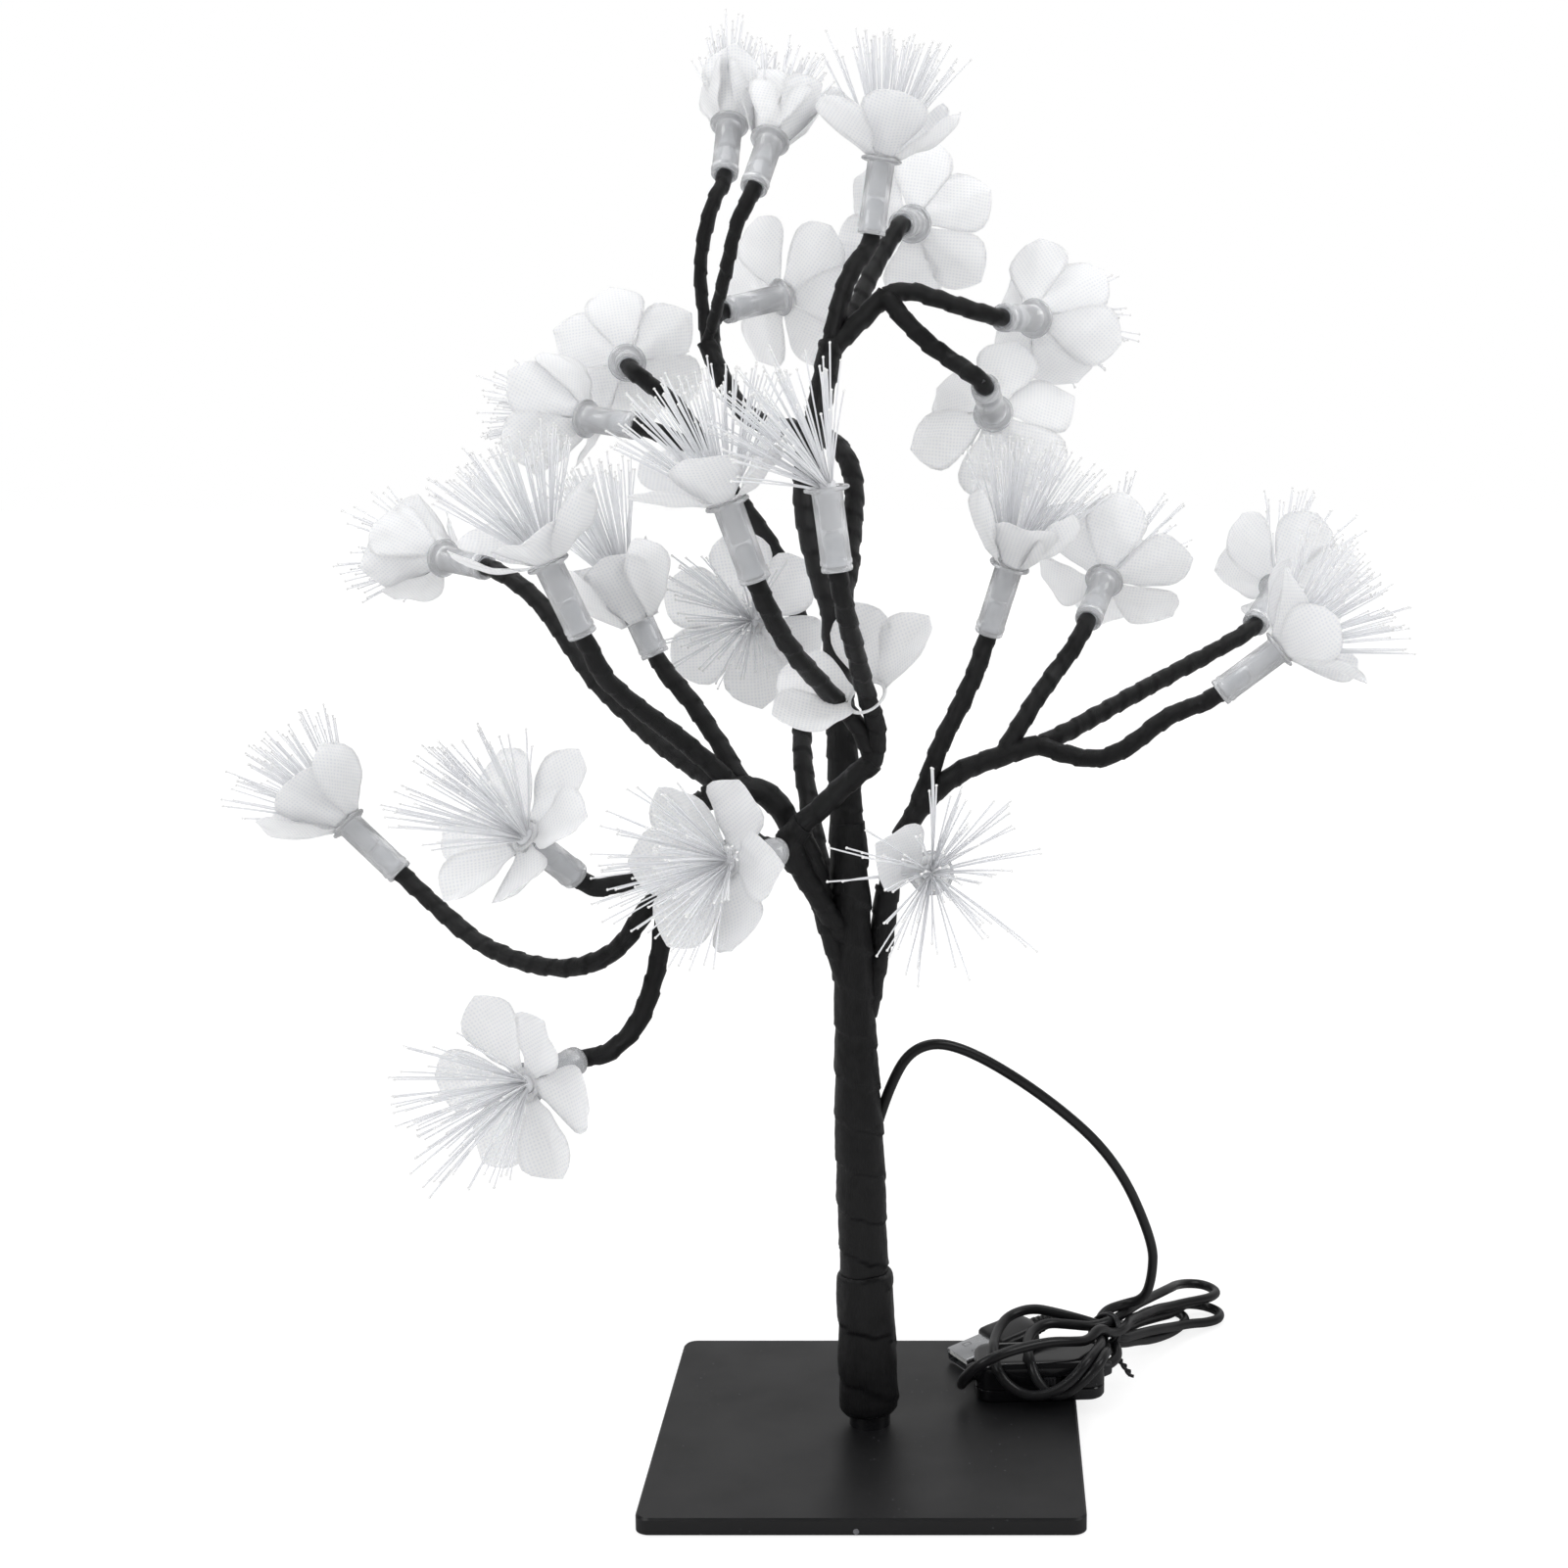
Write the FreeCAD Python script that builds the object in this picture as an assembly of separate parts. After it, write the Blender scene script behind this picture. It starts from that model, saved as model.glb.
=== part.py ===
import FreeCAD, Part
import math
import os
from collections import namedtuple
from FreeCAD import Placement, Rotation, Vector

# Blossom tree lamp: a square weighted base, a taped trunk and six wire boughs that carry
# fibre-optic flower heads.  Millimetres, +Z up, origin at the centre of the base's underside,
# +X to the right and +Y to the back.  One STEP file is written for each named piece.

# ---- Base -------------------------------------------------------------------------------
BASE_SIDE = 120.0            # square moulded base, edge to edge
BASE_TOP = 5.0               # height of the base's upper face above the table
BASE_RIM = 0.4               # the shell's lower rim stands this far off the table
BASE_CORNER = 4.0            # plan corner radius
BASE_WALL = 1.8              # side wall of the shell
BASE_ROOF = 1.6              # top wall of the shell
EDGE_ROUND = 0.6             # bevel of the shell's upper edge
PAD_SIDE = 112.0             # foam pad on which the lamp stands
PAD_THICK = 1.2
BALLAST_SIDE = 108.0         # steel sheet that keeps the lamp from tipping
BALLAST_THICK = 1.6

# ---- Foot post, screw and trunk ------------------------------------------------------------
POST_R = 5.9                 # turned post that stands on the base
POST_TOP = 49.0
POST_FLOOR = 17.0            # the threaded lower end is solid up to here
SCREW_R = 2.0                # M4 screw from beneath
SCREW_HEAD_R = 5.2           # wide flat head that bears on the shell's roof
SCREW_HEAD_H = 1.4
LEAN_DEG = 1.6               # the trunk leans to the left
TRUNK_TOP = 180.0
CORE_R = 3.1                 # bundle of stem wires and LED leads inside the trunk
SLEEVE_TOP = 50.5            # the foot's extra layers of tape end in a step here
FIT = 0.1                    # gap between pieces that are taped or screwed together
# Outer radius of the trunk's tape at each height.
TRUNK_GIRTH = [(50.0, 6.7), (94.0, 6.6), (108.0, 6.1), (122.0, 5.5), (TRUNK_TOP, 5.1)]
TRUNK_SIDES = 14
SPLICE_R = 1.4               # heat-shrink sleeve where the cord joins the leads
SPLICE_OFFSET = 4.7          # distance of the splice from the trunk's axis
SPLICE_SPAN = (66.0, 91.4)

# ---- Flower heads ---------------------------------------------------------------------------
SIDES = 6                    # twigs, LEDs and fibre bundles are six-sided
SOCKET_SIDES = 8
SOCKET_R = 4.0               # clear tube that holds the LED and the end of the fibre bundle
SOCKET_LEN = 20.0
SOCKET_BORE = 2.8
FLANGE_R = 5.8
FLANGE_T = 1.2
LED_R = 2.5
LED_FOOT = 1.0
LED_SHOULDER = 7.6
LED_TIP = 10.2
BUNDLE_R = 2.4               # glued fibre bundle, from just above the LED to the neck
BUNDLE_FOOT = 10.8
NECK = 22.8                  # height above the socket's foot where the fibres part
FIBRE_LEN = 33.0
FIBRE_R = 0.6                # one modelled strand stands for a clump of fibres
OUTER_FIBRES = 6
INNER_FIBRES = 3
PETAL_REACH = 27.0           # from the flower's axis to a petal's tip
PETAL_WAIST = 15.5           # where a petal is widest
PETAL_HALF = 8.2             # half of that width
PETAL_HUB = 4.4
PETAL_HOLE = 2.7
CLOTH = 0.5                  # thickness that stands for the stiffened cloth
LOBES = 6
PETAL_SEAT = SOCKET_LEN + FLANGE_T + 0.1
SLID_HUB = 5.4               # hub and hole of petals that have slipped down over a socket
SLID_HOLE = 4.8

# ---- Boughs -----------------------------------------------------------------------------------
WIRE_R = 1.0                 # stem wire with its LED leads
TWIG_R = 2.8                 # tape-wrapped twig below a socket
END_RUN = 4.0                # the last stretch of a twig is in line with its socket
HINGE_GAP = 0.35             # clearance round a bough's root
BARREL_SIDES = 12

# face: the way a head points.  fan: half angle of its fibres.  cup: how far its petals are
# raised from flat.  roll: turn about the head's own axis.  slid: how far its petals have
# slipped back down the stem.  missing: lobes that are folded away against the stem.
Head = namedtuple("Head", "twig face fan cup roll slid missing", defaults=(0.0, ()))
# limbs: bends of the bough itself, each with its radius at both ends.  axis: the line about
# which the root bends.
Bough = namedtuple("Bough", "root axis root_r limbs heads")

# The leader carries the trunk on upwards and does not bend at a root.
LEADER = Bough(
    root=None, axis=None, root_r=None,
    limbs=[
        (4.9, 3.9, [(-4.8, 0, 176), (-6, 2, 195), (-7, 6, 218), (-9, 10, 239)]),
        (3.9, 3.6, [(-9, 10, 239), (-16, 15, 259), (-17, 20, 277), (-13, 26, 292), (-10, 32, 311)]),
        (3.2, 3.0, [(-10, 32, 309), (0, 34, 319), (5, 36, 324)]),
    ],
    heads=[
        Head([(-10, 32, 311), (-7, 36, 326), (-2, 40, 335), (1, 43, 341)], (0.15, 0.02, 1), 34, 38, 10),
        Head([(-9, 33, 311), (-3, 44, 320), (-1, 52, 328), (4, 60, 337), (9, 67, 345)],
             (0.12, 0.97, 0.05), 32, 20, 0),
        Head([(5, 36, 324), (11, 37, 326), (20, 38, 323), (38, 42, 318)], (0.45, 0.88, 0), 30, 35, 20),
        Head([(5, 35, 324), (14, 32, 313), (24, 30, 306), (33, 27, 299)], (0.12, 0.92, -0.38), 23, 22, 0),
    ])

LEFT = Bough(
    root=(-15, -4, 171), axis=(0, 1, 0), root_r=3.6,
    limbs=[
        (3.4, 3.8, [(-15, -4, 171), (-21, -6, 184), (-27, -7, 191), (-35, -8, 192), (-43, -8, 189)]),
        (3.5, 2.9, [(-43, -8, 189), (-50, -8, 182), (-54, -8, 166)]),
    ],
    heads=[
        Head([(-36, -8, 193), (-45, -12, 203), (-53, -16, 210), (-67, -24, 223), (-72, -28, 236)],
             (-0.38, -0.15, 0.9), 36, 30, 0),
        Head([(-38, -7, 192), (-53, 6, 198), (-67, 18, 208), (-79, 26, 218), (-95, 40, 239),
              (-112, 50, 247)], (-0.72, 0.66, 0.06), 28, 58, 0),
        Head([(-33, -6, 192), (-38, 0, 200), (-48, 6, 214), (-58, 10, 226)], (-0.4, 0.05, 0.9), 30, 62, 0, slid=11),
        Head([(-39, -9, 190), (-34, -15, 183), (-28, -22, 179), (-22, -27, 178)], (-0.55, -0.83, 0.05), 42, 25, 0),
        Head([(-54, -8, 166), (-60, -8, 158), (-67, -5, 147), (-76, -2, 141), (-87, 4, 138),
              (-101, 12, 139), (-114, 20, 143), (-136, 31, 160)], (-0.72, 0.1, 0.68), 40, 48, 0),
        Head([(-54, -9, 168), (-61, -14, 168), (-71, -18, 166), (-77, -20, 170)],
             (-0.5, -0.55, 0.6), 36, 12, 0),
        Head([(-54, -8, 166), (-55, -12, 150), (-58, -15, 137), (-62, -17, 127), (-70, -20, 120),
              (-78, -21, 119)], (-0.5, -0.86, -0.05), 40, 6, 0),
    ])

RIGHT = Bough(
    root=(5, 3, 154), axis=(0, 1, 0), root_r=3.2,
    limbs=[
        (3.2, 3.2, [(5, 3, 154), (7, 5, 169), (12, 8, 180), (21, 12, 190), (31, 16, 195), (48, 22, 199)]),
    ],
    heads=[
        Head([(14, 9, 183), (20, 13, 200), (29, 19, 216), (34, 24, 230.5)], (0.28, -0.2, 0.92), 32, 50, 0),
        Head([(38, 18, 197), (48, 29, 212), (56, 37, 221), (63, 44, 232)], (0.25, 0.8, 0.45), 34, 22, 0),
        Head([(48, 22, 199), (56, 29, 201), (74, 44, 209), (93, 57, 217), (114, 68, 228)],
             (0.4, 0.8, 0.42), 36, 25, 0),
        Head([(48, 22, 199), (60, 17, 195), (71, 16, 197), (84, 18, 208), (99, 20, 214)],
             (0.78, -0.05, 0.6), 42, 40, 0),
        Head([(6, 4, 168), (9, -8, 174), (12, -19, 175), (16, -29, 173)],
             (0.15, -0.97, 0.2), 48, 50, 12, missing=(0, 1, 3, 4, 5)),
    ])

FRONT = Bough(
    root=(-22, -13, 178), axis=(1, 0, 0), root_r=3.2,
    limbs=[
        (3.1, 3.3, [(-22, -13, 178), (-13, -15, 186), (-4, -17, 195), (3, -18, 201)]),
    ],
    heads=[
        Head([(3, -18, 201), (1, -22, 210), (-8, -29, 221), (-18, -38, 234), (-25, -47, 252)],
             (-0.32, -0.12, 0.94), 42, 32, 0),
        Head([(3, -18, 201), (5, -22, 209), (2, -30, 220), (-1, -44, 237), (-4, -54, 255)],
             (-0.12, -0.05, 1), 34, 25, 15, slid=65, missing=(2,)),
    ])

REAR_LEFT = Bough(
    root=(-12, 9, 160), axis=(1, 0, 0), root_r=3.0,
    limbs=[
        (3.0, 2.9, [(-12, 9, 160), (-15, 14, 175), (-19, 24, 194), (-20, 44, 207), (-20, 62, 222)]),
        (2.9, 2.8, [(-20, 62, 222), (-25, 72, 241), (-34, 72, 257), (-45, 70, 271), (-50, 69, 280)]),
    ],
    heads=[
        Head([(-20, 59, 220), (-25, 73, 223), (-32, 70, 227)], (-0.15, -0.95, 0.2), 36, 12, 0),
        Head([(-50, 69, 280), (-56, 72, 291), (-64, 75, 297), (-73, 78, 304)], (-0.15, 0.97, 0.05), 30, 28, 0),
        Head([(-48, 68, 277), (-56, 66, 282), (-68, 60, 287)], (-0.72, 0.5, 0.08), 24, 42, 0),
    ])

REAR_TOP = Bough(
    root=(-6, 19, 246), axis=(1, 0, 0), root_r=3.0,
    limbs=[
        (3.0, 3.0, [(-6, 19, 246), (-4, 28, 257), (-4, 43, 277), (-14, 54, 286), (-36, 67, 287),
                    (-46, 72, 303), (-49, 74, 311)]),
    ],
    heads=[
        Head([(-49, 74, 311), (-51, 76, 325), (-50.5, 77, 340), (-46.5, 77.5, 353), (-44, 84, 360)],
             (0.02, 0.66, 0.75), 20, 75, 0),
        Head([(-49, 74, 311), (-42.5, 62, 328), (-38, 54, 345), (-33, 56, 354.5)],
             (0.18, 0.7, 0.69), 20, 75, 0),
        Head([(-47, 73, 306), (-48.4, 76, 312.5), (-44.5, 83, 320.5)], (0.75, 0.62, 0.2), 14, 14, 10),
    ])

BOUGHS = {"left": LEFT, "right": RIGHT, "front": FRONT, "rear_left": REAR_LEFT, "rear_top": REAR_TOP}

# Stems along the trunk or the leader that carry each bough's root, from below up to the root.
STEM_R = 3.0
STEMS = {
    "left": [(-5, -1, 134), (-10, -2, 150)],
    "right": [(0, 1, 126), (3, 2, 138)],
    "front": [(-7, -3, 150), (-15, -9, 166)],
    "rear_left": [(-5, 3, 136), (-9, 6, 147)],
    "rear_top": [(-8, 9, 235), (-7, 14, 241)],
}

# ---- Cord, plug and switch ---------------------------------------------------------------------
CORD_R = 1.5
CORD_SIDES = 10
CORD_ROUTE = [(2.3, 2.0, 92.3), (5.6, 3.3, 103.5), (12.5, 6, 115.3), (25, 9.8, 115.3), (50, 19.8, 97),
              (72, 33.5, 73), (84.5, 46.5, 42), (83.2, 52.5, 16.5)]
BEND_SHARE = 0.35            # part of the shorter run that a bend takes up

# The hank's outer shape: centre, half width and half height at each station along it.
HANK = [((32, 21, 20.4), 10, 3.2), ((42, 21, 21.0), 17, 3.8), ((59, 30, 22.4), 12, 3.6),
        ((67.2, 39.5, 16.8), 4.4, 4.2), ((72.8, 45.5, 13.4), 4.4, 4.2), ((88, 62, 9.5), 7, 6.5),
        ((104, 80, 7.5), 5, 5.5)]
TIE_AT = Vector(70, 42.5, 15.1)
TIE_ALONG = Vector(5.6, 6, -3.4)
TIE_R = 6.2                  # outer radius of the band
TIE_BORE = 5.1
TIE_WIDTH = 2.4
TIE_TAIL = [(71, 38.5, 11.0), (75, 36, 7.5), (78, 34, 3.5)]

SWITCH_AT = Placement(Vector(49.2, 22.5, BASE_TOP), Rotation(Vector(0, 0, 1), 4))
SWITCH_LEN = 38.0
SWITCH_WIDTH = 18.0
SWITCH_HEIGHT = 12.0
SWITCH_CORNER = 5.0
SWITCH_EDGE = 1.6            # bevel of the cover's upper edge
SWITCH_SPLIT = 4.0           # height of the line between the tray and the cover
SWITCH_WALL = 1.4
BOARD = (28.0, 12.0, 1.0)
BOARD_Z = 2.4
CORD_HOLE_Z = 6.4
SLOT = (8.0, 2.6)            # length and height of the slider's opening in the front wall
SLOT_X = 4.0
SLOT_Z = 6.6
KNOB = (3.6, 2.0)            # length and height of the slider's knob
KNOB_PROUD = 1.0
CARRIAGE = (6.0, 2.4, 3.6)   # part of the slider behind the wall
SLIDER_TRAVEL = 3.4

PLUG_TIP = Vector(25, 38, 7.6)
PLUG_AIM = Vector(-0.84, -0.50, -0.18)
PLUG_SHELL = (12.0, 4.5, 12.0)   # width, height and length outside the moulded body
PLUG_SHELL_WALL = 0.4
PLUG_INSET = 5.0             # length of the metal shell inside the body
TONGUE = (11.0, 1.8)
PLUG_BODY = (15.5, 7.6, 15.0)
RELIEF_LEN = 7.0
RELIEF_RIBS = 4


# ---- Shape helpers -------------------------------------------------------------------------------
def ring(centre, normal, radius, sides=SIDES, start=None):
    """Corner points of a regular polygon square to normal, the first one nearest to start."""
    normal = Vector(normal).normalize()
    across = Vector(start) if start else Vector(1, 0, 0)
    across = across - normal * across.dot(normal)
    if across.Length < 1e-6:
        across = Vector(0, 1, 0) - normal * normal.y
    across.normalize()
    other = normal.cross(across)
    turn = 2 * math.pi / sides
    return [Vector(centre) + (across * math.cos(i * turn) + other * math.sin(i * turn)) * radius
            for i in range(sides)]


def polygon_face(points):
    return Part.Face(Part.makePolygon(list(points) + [points[0]]))


def side_faces(a, b, c, d):
    """One flat face through four corner points, or two where they don't lie in a plane."""
    if abs((b - a).cross(c - a).dot(d - a)) < 1e-6:
        return [polygon_face([a, b, c, d])]
    return [polygon_face([a, b, c]), polygon_face([a, c, d])]


def solid_through(rings):
    """Closed solid with flat faces through rings of equally many corner points."""
    sides = len(rings[0])
    faces = [polygon_face(rings[0][::-1]), polygon_face(rings[-1])]
    for low, high in zip(rings, rings[1:]):
        for i in range(sides):
            j = (i + 1) % sides
            faces += side_faces(low[i], low[j], high[j], high[i])
    solid = Part.Solid(Part.Shell(faces))
    return solid if solid.Volume > 0 else solid.reversed()


def bar(points, radii, sides=SIDES):
    """Flat-sided bar along bent points, its radius changing evenly from one end to the other."""
    points = [Vector(p) for p in points]
    runs = [b - a for a, b in zip(points, points[1:])]
    whole = sum(run.Length for run in runs)
    start = Vector(0.3, 1, 0.2)
    rings, gone = [], 0.0
    for i, point in enumerate(points):
        before, after = Vector(runs[max(i - 1, 0)]), Vector(runs[min(i, len(runs) - 1)])
        radius = radii[0] + (radii[1] - radii[0]) * gone / whole
        rings.append(ring(point, before.normalize() + after.normalize(), radius, sides, start))
        start = rings[-1][0] - point
        gone += runs[i].Length if i < len(runs) else 0.0
    return solid_through(rings)


def prism(radius, low, high, sides=SIDES, top_radius=None):
    """Upright bar about the Z axis, or a frustum where top_radius is given."""
    return bar([(0, 0, low), (0, 0, high)], (radius, radius if top_radius is None else top_radius), sides)


def fused(shapes):
    shapes = list(shapes)
    return shapes[0].multiFuse(shapes[1:]).removeSplitter() if len(shapes) > 1 else shapes[0]


def leaning(shape):
    """Lean an upright shape with the trunk, about the top of the base."""
    return shape.rotated(Vector(0, 0, BASE_TOP), Vector(0, 1, 0), -LEAN_DEG)


def rounded_block(size_x, size_y, low, high, corner):
    """Upright block with rounded plan corners, centred on the Z axis."""
    block = Part.makeBox(size_x, size_y, high - low, Vector(-size_x / 2, -size_y / 2, low))
    upright = [e for e in block.Edges if abs(e.Vertexes[0].Z - e.Vertexes[1].Z) > 0.01]
    return block.makeFillet(corner, upright)


def cut_corner_block(size_x, size_y, low, high, corner):
    """Upright block with its plan corners cut off straight, centred on the Z axis."""
    block = Part.makeBox(size_x, size_y, high - low, Vector(-size_x / 2, -size_y / 2, low))
    return block.makeChamfer(corner, [e for e in block.Edges if abs(e.Vertexes[0].Z - e.Vertexes[1].Z) > 0.01])


def on_head(shape, head):
    """Move a shape modelled about the Z axis on to a head's twig end and axis."""
    align = Rotation(Vector(0, 0, 1), Vector(*head.face))
    turn = align.multiply(Rotation(Vector(0, 0, 1), head.roll))
    moved = shape.copy()
    moved.Placement = Placement(Vector(*head.twig[-1]), turn).multiply(shape.Placement)
    return moved


def export(node, shape):
    if isinstance(shape, list):
        shape = Part.makeCompound(shape)
    shape.exportStep("parts/%s.step" % node)


# ---- Base ------------------------------------------------------------------------------------------
def base_shell():
    """Moulded black cover, open beneath, with the ballast sheet glued under its roof."""
    shell = rounded_block(BASE_SIDE, BASE_SIDE, BASE_RIM, BASE_TOP, BASE_CORNER)
    top_edges = [e for e in shell.Edges if all(abs(v.Z - BASE_TOP) < 0.01 for v in e.Vertexes)]
    shell = shell.makeChamfer(EDGE_ROUND, top_edges)
    inner = BASE_SIDE - 2 * BASE_WALL
    roof = BASE_TOP - BASE_ROOF
    shell = shell.cut(rounded_block(inner, inner, 0, roof, BASE_CORNER - BASE_WALL))
    return shell.cut(Part.makeCylinder(SCREW_R + FIT, BASE_TOP))


def ballast_sheet():
    """Sheared steel sheet with cut corners and a hole for the screw's head."""
    top = BASE_TOP - BASE_ROOF
    sheet = cut_corner_block(BALLAST_SIDE, BALLAST_SIDE, top - BALLAST_THICK, top, 3)
    return sheet.cut(Part.makeCylinder(SCREW_HEAD_R + 1, BASE_TOP))


def base_pieces():
    roof = BASE_TOP - BASE_ROOF
    export("base_shell", base_shell())
    export("ballast_sheet", ballast_sheet())
    export("base_pad", cut_corner_block(PAD_SIDE, PAD_SIDE, 0, PAD_THICK, 4))
    head = Part.makeCylinder(SCREW_HEAD_R, SCREW_HEAD_H, Vector(0, 0, roof - SCREW_HEAD_H))
    shank = Part.makeCylinder(SCREW_R, POST_FLOOR - 2 - roof, Vector(0, 0, roof))
    export("base_screw", fused([head, shank]))


# ---- Trunk -----------------------------------------------------------------------------------------
def foot_post():
    """Turned post: threaded solid foot, hollow above for the end of the stem bundle."""
    post = Part.makeCylinder(POST_R, POST_TOP - BASE_TOP, Vector(0, 0, BASE_TOP))
    post = post.cut(leaning(prism(CORE_R + FIT, POST_FLOOR, POST_TOP + 2)))
    return post.cut(Part.makeCylinder(SCREW_R + 0.02, POST_FLOOR - 1))


def trunk_core():
    """Stem bundle from the post up to the leader, which carries on from its upper end."""
    return leaning(prism(CORE_R, POST_FLOOR + 0.2, TRUNK_TOP - 0.5, SIDES))


def splice():
    at = Vector(SPLICE_OFFSET, 2.0, SPLICE_SPAN[0])
    return leaning(Part.makeCylinder(SPLICE_R, SPLICE_SPAN[1] - SPLICE_SPAN[0], at))


def foot_tape(core):
    """Extra layers of tape round the post, drawn in at the foot and ending in a step."""
    girth = [(7.0, 8.6), (8.3, 10.4), (7.7, SLEEVE_TOP)]
    sleeve = solid_through([ring((0, 0, z), (0, 0, 1), r, TRUNK_SIDES) for r, z in girth])
    return sleeve.cut(Part.makeCylinder(POST_R + FIT, POST_TOP + FIT)).cut(core)


def stem(name):
    """Stem that hugs the trunk and ends in a pocket for the bough's root."""
    bough = BOUGHS[name]
    return bar(STEMS[name] + [bough.root], (STEM_R, bough.root_r))


def trunk_tape(core, wire, splice_sleeve, cord):
    """Tape round the stem bundle and up the leader, with the stems of the boughs."""
    trunk = leaning(solid_through([ring((0, 0, z), (0, 0, 1), r, TRUNK_SIDES) for z, r in TRUNK_GIRTH]))
    tape = fused([trunk] + tape_bars(LEADER) + [stem(name) for name in STEMS])
    for name in STEMS:
        tape = tape.cut(root_barrel(BOUGHS[name], HINGE_GAP))
    below = Part.makeCylinder(3 * POST_R, SLEEVE_TOP)
    for inner in (core, wire, splice_sleeve, cord, below):
        tape = tape.cut(inner)
    return tape


def trunk_pieces(cord):
    core = trunk_core()
    wire = fused(wire_bars(LEADER))
    sleeve = splice()
    export("foot_post", foot_post())
    export("foot_tape", foot_tape(core))
    export("trunk_core", fused([core, wire]))
    export("splice_sleeve", sleeve)
    export("trunk_tape", trunk_tape(core, wire, sleeve, cord))


# ---- Flower heads --------------------------------------------------------------------------------------
def socket():
    """Clear tube with a flange at its mouth; the LED and the fibre bundle push into it."""
    body = fused([prism(SOCKET_R, 0, SOCKET_LEN, SOCKET_SIDES),
                  prism(FLANGE_R, SOCKET_LEN, SOCKET_LEN + FLANGE_T, SOCKET_SIDES)])
    return body.cut(prism(SOCKET_BORE, -1, SOCKET_LEN + 2 * FLANGE_T)).removeSplitter()


def led():
    return fused([prism(LED_R, LED_FOOT, LED_SHOULDER),
                  prism(LED_R, LED_SHOULDER, LED_TIP, top_radius=LED_R / 2)])


def fibre_tuft(fan):
    """Glued bundle whose strands part at the neck and fan out to the given half angle."""
    strands = []
    for count, spread, root in ((OUTER_FIBRES, fan, 1.55), (INNER_FIBRES, 0.45 * fan, 0.75)):
        for i in range(count):
            angle = 2 * math.pi * (i + 0.5 * (count == INNER_FIBRES)) / count
            out = Vector(math.cos(angle), math.sin(angle), 0)
            foot = ring(out * root + Vector(0, 0, NECK), (0, 0, 1), FIBRE_R, 3, out)
            tilt = math.radians(spread)
            reach = (out * math.sin(tilt) + Vector(0, 0, math.cos(tilt))) * FIBRE_LEN
            strands.append(polygon_face(foot).extrude(reach))
    return fused([prism(BUNDLE_R, BUNDLE_FOOT, NECK)] + strands)


def flower(cup, hub_r, hole, missing=()):
    """One-piece cloth flower: a hub with a hole and six pointed petals raised by cup degrees."""
    rise = math.radians(cup)
    hub = polygon_face(ring((0, 0, 0), (0, 0, 1), hub_r / math.cos(math.pi / LOBES), LOBES))
    pieces = [hub.extrude(Vector(0, 0, CLOTH))]
    outline = [(0, hub_r * math.tan(math.pi / LOBES)), (PETAL_WAIST - hub_r, PETAL_HALF), (PETAL_REACH - hub_r, 0)]
    edge = [Vector(hub_r + out * math.cos(rise), half, out * math.sin(rise)) for out, half in outline]
    edge += [Vector(p.x, -p.y, p.z) for p in edge[1::-1]]
    petal = polygon_face(edge).extrude(Vector(0, 0, CLOTH))
    for i in range(LOBES):
        if i not in missing:
            pieces.append(petal.rotated(Vector(0, 0, 0), Vector(0, 0, 1), (i + 0.5) * 360 / LOBES))
    return fused(pieces).cut(prism(hole, -1, 2, LOBES)).removeSplitter()


# ---- Boughs -----------------------------------------------------------------------------------------------
def root_barrel(bough, gap=0.0):
    """Rounded root about which a bough bends; with a gap it is the pocket cut for it."""
    radius, half = bough.root_r + 0.5 + 1.5 * gap, bough.root_r + 0.4 + gap
    root, axis = Vector(*bough.root), Vector(*bough.axis)
    return bar([root - axis * half, root + axis * half], (radius, radius), BARREL_SIDES)


def twig_route(head, past_end=0.0):
    """A twig's points, with its last stretch in line with the head that it carries."""
    face = Vector(*head.face).normalize()
    end = Vector(*head.twig[-1])
    return [Vector(*p) for p in head.twig[:-1]] + [end - face * END_RUN, end + face * past_end]


def tape_bars(bough):
    bars = [bar(points, (r0, r1)) for r0, r1, points in bough.limbs]
    return bars + [bar(twig_route(head), (TWIG_R, TWIG_R)) for head in bough.heads]


def wire_bars(bough):
    bars = [bar(points, (WIRE_R, WIRE_R), 3) for _, _, points in bough.limbs]
    return bars + [bar(twig_route(head, LED_FOOT - FIT), (WIRE_R, WIRE_R), 3) for head in bough.heads]


def seated_flower(head):
    """A head's petals at its neck, or further back where they have slipped down the stem."""
    if not head.slid:
        cloth = flower(head.cup, PETAL_HUB, PETAL_HOLE)
        cloth.translate(Vector(0, 0, PETAL_SEAT))
        return on_head(cloth, head)
    route = twig_route(head, PETAL_SEAT)[::-1]
    left = head.slid
    for above, below in zip(route, route[1:]):
        if left < (above - below).Length:
            break
        left -= (above - below).Length
    up = (above - below).normalize()
    turn = Rotation(Vector(0, 0, 1), up).multiply(Rotation(Vector(0, 0, 1), head.roll))
    cloth = flower(head.cup, SLID_HUB, SLID_HOLE, head.missing)
    cloth.Placement = Placement(above - up * left, turn)
    return cloth


def head_pieces(name, heads):
    """Sockets, LEDs, fibre tufts and petals of all the heads on one bough."""
    export(name + "_sockets", [on_head(socket(), head) for head in heads])
    export(name + "_leds", [on_head(led(), head) for head in heads])
    export(name + "_fibres", [on_head(fibre_tuft(head.fan), head) for head in heads])
    export(name + "_petals", [seated_flower(head) for head in heads])


def bough_pieces(name, bough):
    """Wires of one bough and the tape round them, with the round root on which it bends."""
    wire = fused(wire_bars(bough))
    export(name + "_wire", wire)
    export(name + "_tape", fused(tape_bars(bough) + [root_barrel(bough)]).cut(wire))


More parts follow.
